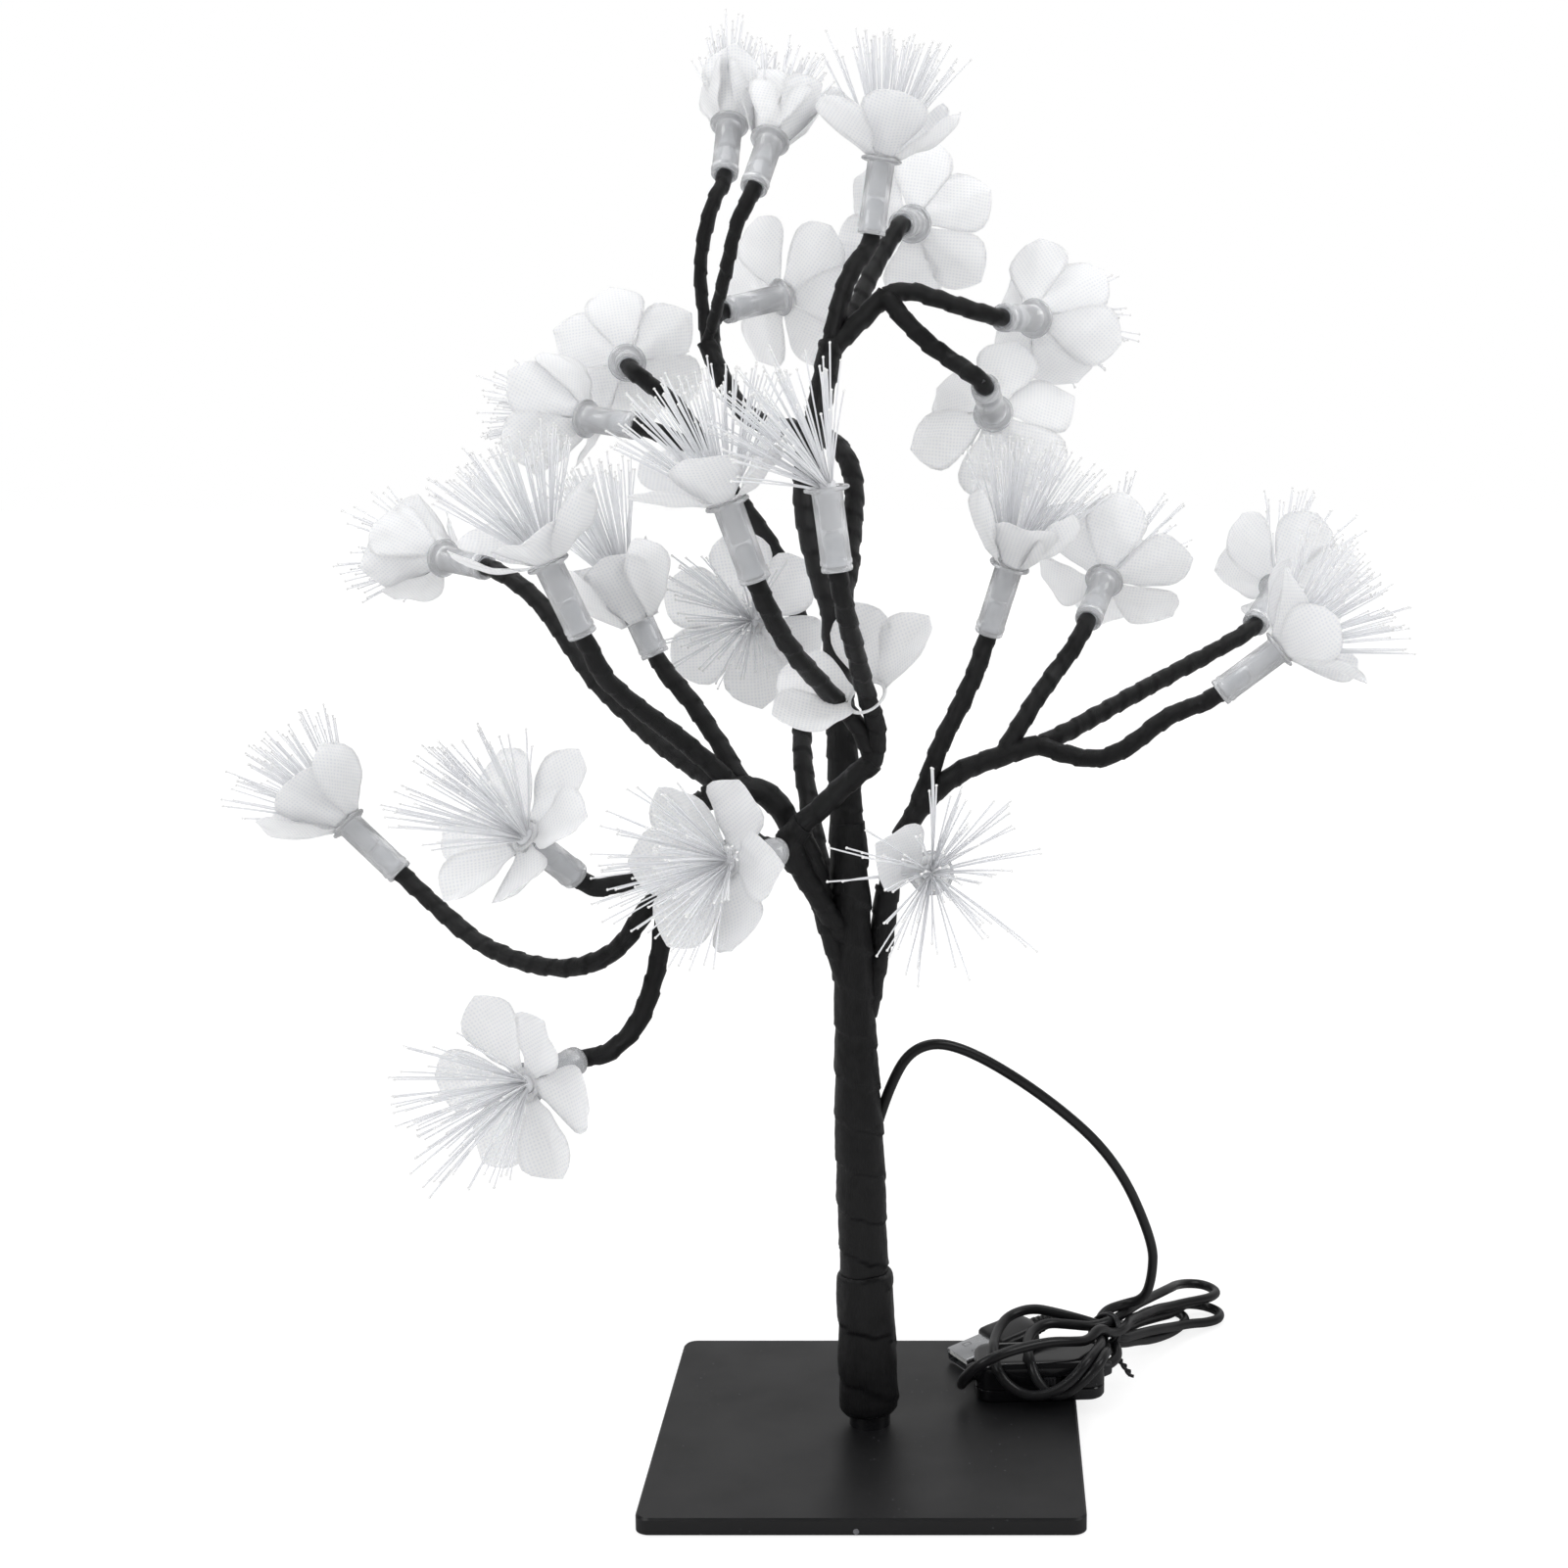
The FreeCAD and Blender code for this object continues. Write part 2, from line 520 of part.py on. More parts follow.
# ---- Cord, hank and tie ---------------------------------------------------------------------------------
def rounded_path(points, share):
    """Straight runs joined by tangent arcs, each as large as its two runs allow."""
    points = [Vector(*p) for p in points]
    edges, radii = [], []
    start = points[0]
    for before, corner, after in zip(points, points[1:], points[2:]):
        back, ahead = (before - corner), (after - corner)
        trim = share * min(back.Length, ahead.Length)
        half_turn = (math.pi - back.getAngle(ahead)) / 2
        radii.append(trim / math.tan(half_turn))
        one = corner + back.normalize() * trim
        two = corner + ahead.normalize() * trim
        inward = (back + ahead).normalize()
        bulge = radii[-1] / math.cos(half_turn) - radii[-1]
        edges.append(Part.LineSegment(start, one).toShape())
        edges.append(Part.Arc(one, corner + inward * bulge, two).toShape())
        start = two
    edges.append(Part.LineSegment(start, points[-1]).toShape())
    return Part.Wire(edges), radii


def cord_tube():
    path, radii = rounded_path(CORD_ROUTE, BEND_SHARE)
    along = Vector(*CORD_ROUTE[1]) - Vector(*CORD_ROUTE[0])
    corners = ring(CORD_ROUTE[0], along.normalize(), CORD_R, CORD_SIDES)
    profile = Part.makePolygon(corners + corners[:1])
    tube = path.makePipeShell([profile], True, False)
    swept = Part.Face(profile).Area * path.Length
    print("cord bend radii:", ", ".join("%.0f" % r for r in radii))
    print("cord volume %.0f, section times length %.0f" % (tube.Volume, swept))
    return tube


def hank():
    """Closed outer shape of the tied hank: wide loops on the switch, a narrow waist, short loops."""
    centres = [Vector(*centre) for centre, _, _ in HANK]
    rings = []
    for i, (_, half_width, half_height) in enumerate(HANK):
        along = centres[min(i + 1, len(HANK) - 1)] - centres[max(i - 1, 0)]
        across = Vector(along.y, -along.x, 0).normalize()
        corners = [math.radians(22.5 + 45 * k) for k in range(8)]
        rings.append([centres[i] + across * (half_width * math.cos(a))
                      + Vector(0, 0, half_height * math.sin(a)) for a in corners])
    return solid_through(rings)


def twist_tie():
    """Wire tie round the hank's waist, its two ends twisted together and hanging."""
    along = Vector(TIE_ALONG).normalize()
    ends = [TIE_AT - along * TIE_WIDTH / 2, TIE_AT + along * TIE_WIDTH / 2]
    band = bar(ends, (TIE_R, TIE_R)).cut(bar([ends[0] - along, ends[1] + along], (TIE_BORE, TIE_BORE)))
    return fused([band, bar(TIE_TAIL, (1.1, 0.9), 6)])


# ---- Switch and plug ----------------------------------------------------------------------------------------
def switch_hollow(low, high):
    """Inside of the housing, with straight corners."""
    return cut_corner_block(SWITCH_LEN - 2 * SWITCH_WALL, SWITCH_WIDTH - 2 * SWITCH_WALL, low, high, 3)


def switch_tray():
    tray = rounded_block(SWITCH_LEN, SWITCH_WIDTH, 0, SWITCH_SPLIT, SWITCH_CORNER)
    hollow = switch_hollow(SWITCH_WALL, SWITCH_HEIGHT)
    ribs = [Part.makeBox(1.2, BOARD[1], BOARD_Z - SWITCH_WALL, Vector(x - 0.6, -BOARD[1] / 2, SWITCH_WALL))
            for x in (-BOARD[0] / 3, BOARD[0] / 3)]
    return fused([tray.cut(hollow)] + ribs)


def switch_cover():
    """Glossy rounded cover with a slot for the slider and a hole for the cord at each end."""
    cover = rounded_block(SWITCH_LEN, SWITCH_WIDTH, SWITCH_SPLIT, SWITCH_HEIGHT, SWITCH_CORNER)
    top_edges = [e for e in cover.Edges if all(abs(v.Z - SWITCH_HEIGHT) < 0.01 for v in e.Vertexes)]
    cover = cover.makeChamfer(SWITCH_EDGE, top_edges)
    hollow = switch_hollow(0, SWITCH_HEIGHT - SWITCH_WALL)
    slot = Part.makeBox(SLOT[0], 3 * SWITCH_WALL, SLOT[1],
                        Vector(SLOT_X - SLOT[0] / 2, -SWITCH_WIDTH / 2 - SWITCH_WALL, SLOT_Z - SLOT[1] / 2))
    cord_holes = Part.makeCylinder(CORD_R + FIT, SWITCH_LEN + 2, Vector(-SWITCH_LEN / 2 - 1, 0, CORD_HOLE_Z),
                                   Vector(1, 0, 0))
    return cover.cut(hollow).cut(slot).cut(cord_holes)


def switch_slider():
    """Knob in the slot and the carriage behind the wall, at the off end of its travel."""
    x = SLOT_X - SLIDER_TRAVEL / 2
    wall_in = -SWITCH_WIDTH / 2 + SWITCH_WALL + HINGE_GAP
    carriage = Part.makeBox(*CARRIAGE, Vector(x - CARRIAGE[0] / 2, wall_in, SLOT_Z - CARRIAGE[2] / 2))
    reach = SWITCH_WALL + HINGE_GAP + KNOB_PROUD
    knob = Part.makeBox(KNOB[0], reach, KNOB[1], Vector(x - KNOB[0] / 2, wall_in - reach, SLOT_Z - KNOB[1] / 2))
    return fused([carriage, knob])


def switch_board():
    return Part.makeBox(*BOARD, Vector(-BOARD[0] / 2, -BOARD[1] / 2, BOARD_Z))


def plug_rear(ahead, width, height, length, corner=0.0):
    """Block along the plug's axis, starting that far ahead of the body's rear face."""
    block = Part.makeBox(length, width, height, Vector(ahead, -width / 2, -height / 2))
    if corner:
        block = block.makeChamfer(corner, [e for e in block.Edges if abs(e.BoundBox.XLength - length) < 0.01])
    return block


def plug_pieces():
    """USB plug: folded metal shell, insulating tongue, moulded body with a ribbed relief."""
    width, height, out = PLUG_SHELL
    shell_foot = PLUG_BODY[2] - PLUG_INSET
    shell_len = PLUG_INSET + out
    wall = PLUG_SHELL_WALL
    outer = plug_rear(shell_foot, width, height, shell_len)
    shell = outer.cut(plug_rear(shell_foot - 1, width - 2 * wall, height - 2 * wall, shell_len + 2))
    tongue = plug_rear(shell_foot + 0.5, *TONGUE, shell_len - 1)
    tongue.translate(Vector(0, 0, height / 2 - wall - TONGUE[1] / 2))
    body = plug_rear(0, *PLUG_BODY, 2.4).cut(outer)
    relief = [bar([(-RELIEF_LEN, 0, 0), (0.5, 0, 0)], (2.1, 2.9), 10)]
    for i in range(RELIEF_RIBS):
        at = -RELIEF_LEN * (i + 0.7) / RELIEF_RIBS
        relief.append(bar([(at, 0, 0), (at + 0.9, 0, 0)], (3.4 - 0.25 * i, 3.4 - 0.25 * i), 10))
    rear = PLUG_TIP - Vector(PLUG_AIM).normalize() * (PLUG_BODY[2] + out)
    place = Placement(rear, Rotation(Vector(*PLUG_AIM), Vector(0, 0, 1).cross(PLUG_AIM), Vector(0, 0, 1), "XZY"))
    for node, piece in (("plug_shell", shell), ("plug_tongue", tongue), ("plug_body", fused([body] + relief))):
        piece.Placement = place.multiply(piece.Placement)
        export(node, piece)


def cord_pieces(cord):
    export("usb_cord", cord)
    export("cord_hank", hank())
    export("twist_tie", twist_tie())
    for node, piece in (("switch_tray", switch_tray()), ("switch_cover", switch_cover()),
                        ("switch_slider", switch_slider()), ("switch_board", switch_board())):
        piece.Placement = SWITCH_AT.multiply(piece.Placement)
        export(node, piece)
    plug_pieces()


# ---- Build ----------------------------------------------------------------------------------------------------
os.makedirs("parts", exist_ok=True)
usb_cord = cord_tube()
base_pieces()
trunk_pieces(usb_cord)
head_pieces("leader", LEADER.heads)
for bough_name, bough_data in BOUGHS.items():
    bough_pieces(bough_name, bough_data)
    head_pieces(bough_name, bough_data.heads)
cord_pieces(usb_cord)
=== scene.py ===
import bpy
import bmesh
import math
from mathutils import Matrix, Vector


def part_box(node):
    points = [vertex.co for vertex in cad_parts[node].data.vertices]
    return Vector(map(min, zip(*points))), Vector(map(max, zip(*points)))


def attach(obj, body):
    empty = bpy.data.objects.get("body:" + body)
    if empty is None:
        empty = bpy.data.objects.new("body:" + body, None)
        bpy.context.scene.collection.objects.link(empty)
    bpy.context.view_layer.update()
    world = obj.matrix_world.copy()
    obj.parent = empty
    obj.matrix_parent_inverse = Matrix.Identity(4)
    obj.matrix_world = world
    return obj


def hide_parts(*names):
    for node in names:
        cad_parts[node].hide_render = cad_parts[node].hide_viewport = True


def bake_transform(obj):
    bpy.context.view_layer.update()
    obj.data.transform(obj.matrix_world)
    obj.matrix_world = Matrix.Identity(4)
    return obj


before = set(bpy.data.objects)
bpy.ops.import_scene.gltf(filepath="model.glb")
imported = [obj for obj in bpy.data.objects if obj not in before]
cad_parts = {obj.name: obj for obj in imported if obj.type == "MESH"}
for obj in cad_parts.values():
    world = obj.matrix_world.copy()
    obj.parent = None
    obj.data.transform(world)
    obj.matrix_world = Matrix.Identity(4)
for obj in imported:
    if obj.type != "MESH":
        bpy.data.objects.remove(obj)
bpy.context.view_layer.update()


# ---- Base ----------------------------------------------------------------------------------
# Square tray-like cover, injection moulded in black ABS with a satin grain, with the trace of
# its gate left as a pale dot low on its front wall.  A steel sheet and a foam pad are glued in it.
def linear(code):
    """Linear colour of an sRGB hex value."""
    parts = [int(code[i:i + 2], 16) / 255 for i in (1, 3, 5)]
    return [p / 12.92 if p <= 0.04045 else ((p + 0.055) / 1.055) ** 2.4 for p in parts] + [1.0]


def add(tree, kind, settings=None, **inputs):
    """Add one node; a socket given as an input's value is linked, and so is a node's first output."""
    node = tree.nodes.new(kind)
    for name, value in (settings or {}).items():
        setattr(node, name, value)
    for name, value in inputs.items():
        key = int(name[1:]) if name[0] == "_" else name.replace("_", " ")
        socket = node.inputs[key]
        if isinstance(value, bpy.types.Node):
            value = value.outputs[0]
        if isinstance(value, bpy.types.NodeSocket):
            tree.links.new(value, socket)
        else:
            socket.default_value = value
    return node


def calc(tree, operation, *values):
    """Result of one math node."""
    numbered = {"_%d" % i: value for i, value in enumerate(values)}
    return add(tree, "ShaderNodeMath", {"operation": operation}, **numbered).outputs[0]


def material(name, **inputs):
    """New material, its tree, shader and coordinates in metres; inputs are set on the shader's sockets."""
    made = bpy.data.materials.new(name)
    made.use_nodes = True
    tree = made.node_tree
    shader = tree.nodes["Principled BSDF"]
    for key, value in inputs.items():
        shader.inputs[key.replace("_", " ")].default_value = value
    return made, tree, shader, add(tree, "ShaderNodeTexCoord").outputs["Object"]


def tint(tree, shader, share, first, second):
    """Base colour that goes from one hex value to another with a share."""
    tone = add(tree, "ShaderNodeMix", {"data_type": "RGBA"}, _0=share, _6=linear(first), _7=linear(second))
    tree.links.new(tone.outputs[2], shader.inputs["Base Color"])


def emboss(tree, shader, height, strength, depth):
    """Fine relief of a depth in metres."""
    bump = add(tree, "ShaderNodeBump", Strength=strength, Distance=depth, Height=height)
    tree.links.new(bump.outputs[0], shader.inputs["Normal"])


def polish(tree, shader, share, low, high, smooth, rough):
    """Roughness that goes from smooth to rough as a share goes from low to high."""
    ranged = add(tree, "ShaderNodeMapRange", Value=share, From_Min=low, From_Max=high, To_Min=smooth,
                 To_Max=rough)
    tree.links.new(ranged.outputs[0], shader.inputs["Roughness"])


def dress(node, made):
    """Give a node of the frame its material."""
    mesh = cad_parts[node].data
    mesh.materials.clear()
    mesh.materials.append(made)


# ABS, moulded: satin spark-eroded grain of about 0.4 mm, a few pale specks of dust on it.
grain_abs, tree, shader, place = material("satin_moulded_abs", Roughness=0.42, IOR=1.53)
grain = add(tree, "ShaderNodeTexNoise", Vector=place, Scale=2600.0, Detail=3.0, Roughness=0.6)
cloud = add(tree, "ShaderNodeTexNoise", Vector=place, Scale=38.0, Detail=4.0)
specks = add(tree, "ShaderNodeTexVoronoi", {"feature": "F1"}, Vector=place, Scale=330.0, Randomness=1.0)
dust = add(tree, "ShaderNodeMapRange", Value=specks.outputs["Distance"], From_Min=0.05, From_Max=0.12,
           To_Min=1.0, To_Max=0.0)
rare = add(tree, "ShaderNodeMapRange", Value=cloud, From_Min=0.52, From_Max=0.62)
speck = calc(tree, "MULTIPLY", dust, rare)
tint(tree, shader, speck, "#111113", "#56565B")
polish(tree, shader, cloud, 0.3, 0.7, 0.36, 0.48)
emboss(tree, shader, grain, strength=0.35, depth=0.00008)
dress("base_shell", grain_abs)

# Steel, cold rolled and zinc plated: grey with the cloudy spangle of the bath.
zinc_steel, tree, shader, place = material("zinc_plated_steel", Metallic=1.0, Roughness=0.38)
spangle = add(tree, "ShaderNodeTexVoronoi", Vector=place, Scale=420.0)
tint(tree, shader, spangle.outputs["Distance"], "#9A9DA1", "#C6C8CA")
for node in ("ballast_sheet", "base_screw"):
    dress(node, zinc_steel)

# EVA foam, sliced: matt black with closed cells of about 0.4 mm.
foam, tree, shader, place = material("sliced_eva_foam", Roughness=0.95)
cells = add(tree, "ShaderNodeTexVoronoi", Vector=place, Scale=2400.0)
tint(tree, shader, cells.outputs["Distance"], "#111112", "#2A2A2C")
emboss(tree, shader, cells.outputs["Distance"], strength=0.6, depth=0.0002)
dress("base_pad", foam)


def new_piece(name, mesh, made, body, smooth=True):
    """Object for a mesh whose place is in its points; it rides on a body, if one is given."""
    mesh.materials.clear()
    mesh.materials.append(made)
    for face in mesh.polygons:
        face.use_smooth = smooth
    piece = bpy.data.objects.new(name, mesh)
    bpy.context.scene.collection.objects.link(piece)
    if body:
        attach(piece, body)
    return piece


def wall(form, one, two):
    """Band of faces between two closed rings of as many points."""
    for i in range(len(one)):
        j = (i + 1) % len(one)
        form.faces.new((one[i], one[j], two[j], two[i]))


def mesh_of(form, name):
    """Mesh of a form, which is freed."""
    mesh = bpy.data.meshes.new(name)
    form.to_mesh(mesh)
    form.free()
    return mesh


def lathe(profile, sides):
    """Closed mesh turned about the Z axis from (radius, height) points, last joined to first."""
    form = bmesh.new()
    around = [2 * math.pi * i / sides for i in range(sides)]
    rings = [[form.verts.new((r * math.cos(a), r * math.sin(a), z)) for a in around] for r, z in profile]
    for one, two in zip(rings, rings[1:] + rings[:1]):
        wall(form, one, two)
    bmesh.ops.remove_doubles(form, verts=form.verts, dist=1e-7)
    bmesh.ops.dissolve_degenerate(form, dist=1e-7, edges=form.edges)
    bmesh.ops.recalc_face_normals(form, faces=form.faces)
    return mesh_of(form, "turned")


# ABS where the gate was snipped off: stressed, so paler and rough.
gate_abs, tree, shader, place = material("snipped_abs_gate", Roughness=0.7)
torn = add(tree, "ShaderNodeTexNoise", Vector=place, Scale=3000.0, Detail=4.0)
tint(tree, shader, torn, "#3A3A3D", "#77777B")
scar = lathe([(0, -0.0002), (0.0009, -0.0002), (0.0008, 0.0001), (0.0004, 0.0003), (0, 0.0003)], 14)
scar.transform(Matrix.Translation((-0.0012, -0.06, 0.0014)) @ Matrix.Rotation(math.pi / 2, 4, "X"))
new_piece("gate_scar", scar, gate_abs, "root")


# ---- Foot post ------------------------------------------------------------------------------
# Turned aluminium post screwed to the base from beneath, sprayed in glossy black enamel; only
# its lowest few millimetres show as a bright ring under the tape.
post_paint, tree, shader, place = material("sprayed_gloss_black_enamel", Roughness=0.12, IOR=1.5,
                                           Coat_Weight=0.6, Coat_Roughness=0.05)
peel = add(tree, "ShaderNodeTexNoise", Vector=place, Scale=700.0, Detail=2.0)
tint(tree, shader, peel, "#0B0B0C", "#171719")
emboss(tree, shader, peel, strength=0.12, depth=0.0001)
dress("foot_post", post_paint)

# Polyolefin heat-shrink over the cord's splice, and drawn steel stem wire, both out of sight.
shrink, tree, shader, place = material("recovered_heat_shrink", Roughness=0.5)
folds = add(tree, "ShaderNodeTexNoise", Vector=place, Scale=500.0)
tint(tree, shader, folds, "#101011", "#242426")
dress("splice_sleeve", shrink)
stem_wire, tree, shader, place = material("drawn_steel_stem_wire", Metallic=1.0, Roughness=0.3)
draw_lines = add(tree, "ShaderNodeTexNoise", Vector=place, Scale=900.0, Detail=3.0)
tint(tree, shader, draw_lines, "#7E8084", "#B4B6BA")
for node in ("trunk_core", "left_wire", "right_wire", "front_wire", "rear_left_wire", "rear_top_wire"):
    dress(node, stem_wire)


# ---- Tape windings ---------------------------------------------------------------------------
# Black PVC tape wound at a slant round each stem, every turn lapping the one below.  It is
# calendered film: glossy on the ridges, with stretch wrinkles and ragged, slightly lifted edges.
pvc_tape, tree, shader, place = material("calendered_pvc_tape", Roughness=0.3, IOR=1.53)
wound = add(tree, "ShaderNodeAttribute", {"attribute_name": "wound"}).outputs["Vector"]
stretch = add(tree, "ShaderNodeMapping", Vector=wound, Scale=(160.0, 700.0, 1.0))
creases = add(tree, "ShaderNodeTexNoise", Vector=stretch, Scale=1.0, Detail=4.0, Roughness=0.6)
cloud = add(tree, "ShaderNodeTexNoise", Vector=place, Scale=160.0, Detail=3.0)
tint(tree, shader, cloud, "#050506", "#0E0E10")
polish(tree, shader, creases, 0.3, 0.75, 0.22, 0.46)
emboss(tree, shader, creases, strength=0.55, depth=0.00025)


def node_tree(name, inputs):
    """Empty geometry tree with named inputs; an input is (name, kind, value)."""
    made = bpy.data.node_groups.new(name, "GeometryNodeTree")
    for label, kind, value in inputs:
        socket = made.interface.new_socket(label, in_out="INPUT", socket_type="NodeSocket" + kind)
        if value is not None:
            socket.default_value = value
    made.interface.new_socket("Geometry", in_out="OUTPUT", socket_type="NodeSocketGeometry")
    return made, add(made, "NodeGroupInput").outputs


def grown(source, made, values):
    """Plain mesh that a tree makes of an object, its inputs set by their identifiers."""
    bpy.context.scene.collection.objects.link(source)
    modifier = source.modifiers.new("grown", "NODES")
    modifier.node_group = made
    for item in made.interface.items_tree:
        if item.item_type == "SOCKET" and item.in_out == "INPUT" and item.name in values:
            modifier[item.identifier] = values[item.name]
    depsgraph = bpy.context.evaluated_depsgraph_get()
    mesh = bpy.data.meshes.new_from_object(source.evaluated_get(depsgraph), depsgraph=depsgraph)
    source.modifiers.remove(modifier)
    bpy.data.objects.remove(source)
    return mesh


def winding_tree():
    """Tube along a curve whose skin is a slanted winding of lapped tape."""
    made, given = node_tree("tape_winding", [
        ("Geometry", "Geometry", None), ("Pitch", "Float", 0.007), ("Lap", "Float", 0.0003),
        ("Wrinkle", "Float", 0.0003), ("Ring", "Float", 0.0007), ("Sides", "Int", 20), ("Seed", "Int", 0),
        ("Material", "Material", None)])
    even = add(made, "GeometryNodeResampleCurve", {"mode": "LENGTH"}, Curve=given["Geometry"],
               Length=given["Ring"])
    spot = add(made, "GeometryNodeSplineParameter")
    route = add(made, "GeometryNodeCaptureAttribute", Geometry=even)
    route.capture_items.new("FLOAT", "along")
    made.links.new(spot.outputs["Length"], route.inputs["along"])
    circle = add(made, "GeometryNodeCurvePrimitiveCircle", Resolution=given["Sides"], Radius=1.0)
    angle = add(made, "GeometryNodeSplineParameter")
    rim = add(made, "GeometryNodeCaptureAttribute", Geometry=circle)
    rim.capture_items.new("FLOAT", "turn")
    made.links.new(angle.outputs["Factor"], rim.inputs["turn"])
    girth = add(made, "GeometryNodeInputRadius")
    scaled = add(made, "GeometryNodeSetCurveRadius", Curve=route, Radius=girth)
    tube = add(made, "GeometryNodeCurveToMesh", Curve=scaled, Profile_Curve=rim)
    tube.inputs["Fill Caps"].default_value = True
    made.links.new(girth.outputs[0], tube.inputs["Scale"])
    along, turn = route.outputs["along"], rim.outputs["turn"]
    where = add(made, "GeometryNodeInputPosition").outputs[0]
    shaky = add(made, "ShaderNodeTexNoise", {"noise_dimensions": "4D"}, Vector=where, W=given["Seed"],
                Scale=260.0, Detail=2.0)
    frayed = calc(made, "MULTIPLY_ADD", shaky, 0.5, -0.25)
    laps = calc(made, "DIVIDE", along, given["Pitch"])
    slanted = calc(made, "ADD", laps, turn)
    ragged = calc(made, "ADD", slanted, frayed)
    phase = calc(made, "FRACT", ragged)
    step = add(made, "ShaderNodeFloatCurve", Value=phase)
    bend = step.mapping.curves[0]
    bend.points[0].location = (0.0, 0.05)
    bend.points[-1].location = (1.0, 0.0)
    for x, y in ((0.04, 1.0), (0.12, 0.9), (0.55, 0.45)):
        bend.points.new(x, y)
    step.mapping.update()
    raised = calc(made, "MULTIPLY", step, given["Lap"])
    stretch_x = add(made, "ShaderNodeCombineXYZ", X=along, Y=turn)
    drawn = add(made, "ShaderNodeVectorMath", {"operation": "MULTIPLY"}, _0=where, _1=(1.0, 1.0, 0.45))
    puckers = add(made, "ShaderNodeTexNoise", {"noise_dimensions": "4D"}, Vector=drawn, W=given["Seed"],
                  Scale=190.0, Detail=3.0, Roughness=0.55)
    centred = calc(made, "SUBTRACT", puckers, 0.5)
    buckled = calc(made, "MULTIPLY", centred, given["Wrinkle"])
    lift = calc(made, "ADD", raised, buckled)
    outward = add(made, "GeometryNodeInputNormal").outputs[0]
    move = add(made, "ShaderNodeVectorMath", {"operation": "SCALE"}, _0=outward, Scale=lift)
    skin = add(made, "GeometryNodeSetPosition", Geometry=tube, Offset=move)
    kept = add(made, "GeometryNodeStoreNamedAttribute", {"data_type": "FLOAT_VECTOR", "domain": "POINT"},
               Geometry=skin, Name="wound", Value=stretch_x)
    real = add(made, "GeometryNodeRealizeInstances", Geometry=kept)
    done = add(made, "GeometryNodeSetMaterial", Geometry=real, Material=given["Material"])
    add(made, "NodeGroupOutput", Geometry=done)
    return made


winding = winding_tree()
TAPE_BUILD = 0.0004         # what the lapped film adds to a stem's radius


def new_curve(name):
    """Empty curve in space."""
    data = bpy.data.curves.new(name, "CURVE")
    data.dimensions = "3D"
    return data


def new_spline(data, kind, points):
    """Open spline of a curve on control points in metres; a NURBS one is smooth."""
    spline = data.splines.new(kind)
    spline.points.add(len(points) - 1)
    for spot, point in zip(spline.points, points):
        spot.co = (*point, 1.0)
    if kind == "NURBS":
        spline.order_u = 3
        spline.use_endpoint_u = True
    return spline


def stems(name, routes):
    """Curve object of smooth stems; a route is (first radius, last radius, points)."""
    data = new_curve(name)
    for first, last, points in routes:
        spline = new_spline(data, "NURBS", points)
        spline.resolution_u = 8
        for i, spot in enumerate(spline.points):
            spot.radius = first + (last - first) * i / (len(points) - 1) - TAPE_BUILD
    return bpy.data.objects.new(name, data)


def wound_piece(name, routes, body, seed, wrinkle=0.0011):
    """Stems under one skin of tape."""
    mesh = grown(stems(name + "_route", routes), winding, {
        "Pitch": 0.0065, "Lap": 0.00042, "Wrinkle": wrinkle, "Ring": 0.0007, "Sides": 20, "Seed": seed,
        "Material": pvc_tape})
    return new_piece(name, mesh, pvc_tape, body)


# ---- Trunk ------------------------------------------------------------------------------------
# Bundle of stems taped into one leaning trunk: wide turns of tape, an extra sleeve of it over
# the post that is drawn in at the foot, and the stems of the boughs hugging it higher up.
TRUNK_TILT = math.radians(1.6)
TILT_HEIGHT = 0.005         # height of the point that the trunk leans about


def leaning(z):
    """Point of the trunk's axis at a height along it."""
    up = z - TILT_HEIGHT
    return (-up * math.sin(TRUNK_TILT), 0, TILT_HEIGHT + up * math.cos(TRUNK_TILT))


def trunk_route(name, girth):
    """One upright spline whose radius follows the trunk's girth."""
    data = new_curve(name)
    spline = new_spline(data, "POLY", [leaning(z) for _, z in girth])
    for spot, (radius, _) in zip(spline.points, girth):
        spot.radius = radius
    return bpy.data.objects.new(name, data)


def trunk_part(name, girth, seed, pitch, lap, wrinkle, node):
    """Wide tape round the trunk; its girth is a list of (radius, height)."""
    mesh = grown(trunk_route(name + "_route", girth), winding, {
        "Pitch": pitch, "Lap": lap, "Wrinkle": wrinkle, "Ring": 0.0006, "Sides": 48, "Seed": seed,
        "Material": pvc_tape})
    piece = new_piece(name, mesh, pvc_tape, "root")
    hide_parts(node)


foot_girth = [(0.0059, 0.0086), (0.0070, 0.0089), (0.0081, 0.0104), (0.0083, 0.0125), (0.0080, 0.018),
              (0.0081, 0.026), (0.0078, 0.036), (0.0079, 0.045), (0.0077, 0.0498), (0.0070, 0.0507)]
trunk_girth = [(0.0060, 0.049), (0.0066, 0.051), (0.0066, 0.062), (0.0068, 0.075), (0.0065, 0.086),
               (0.0066, 0.094), (0.0063, 0.101), (0.0060, 0.109), (0.0057, 0.117), (0.0055, 0.124),
               (0.0053, 0.140), (0.0052, 0.158), (0.0050, 0.172), (0.0047, 0.181)]
trunk_part("foot_sleeve", foot_girth, seed=3, pitch=0.017, lap=0.0005, wrinkle=0.0012, node="foot_tape")
trunk_part("trunk_winding", trunk_girth, seed=5, pitch=0.013, lap=0.00055, wrinkle=0.0014, node="trunk_tape")


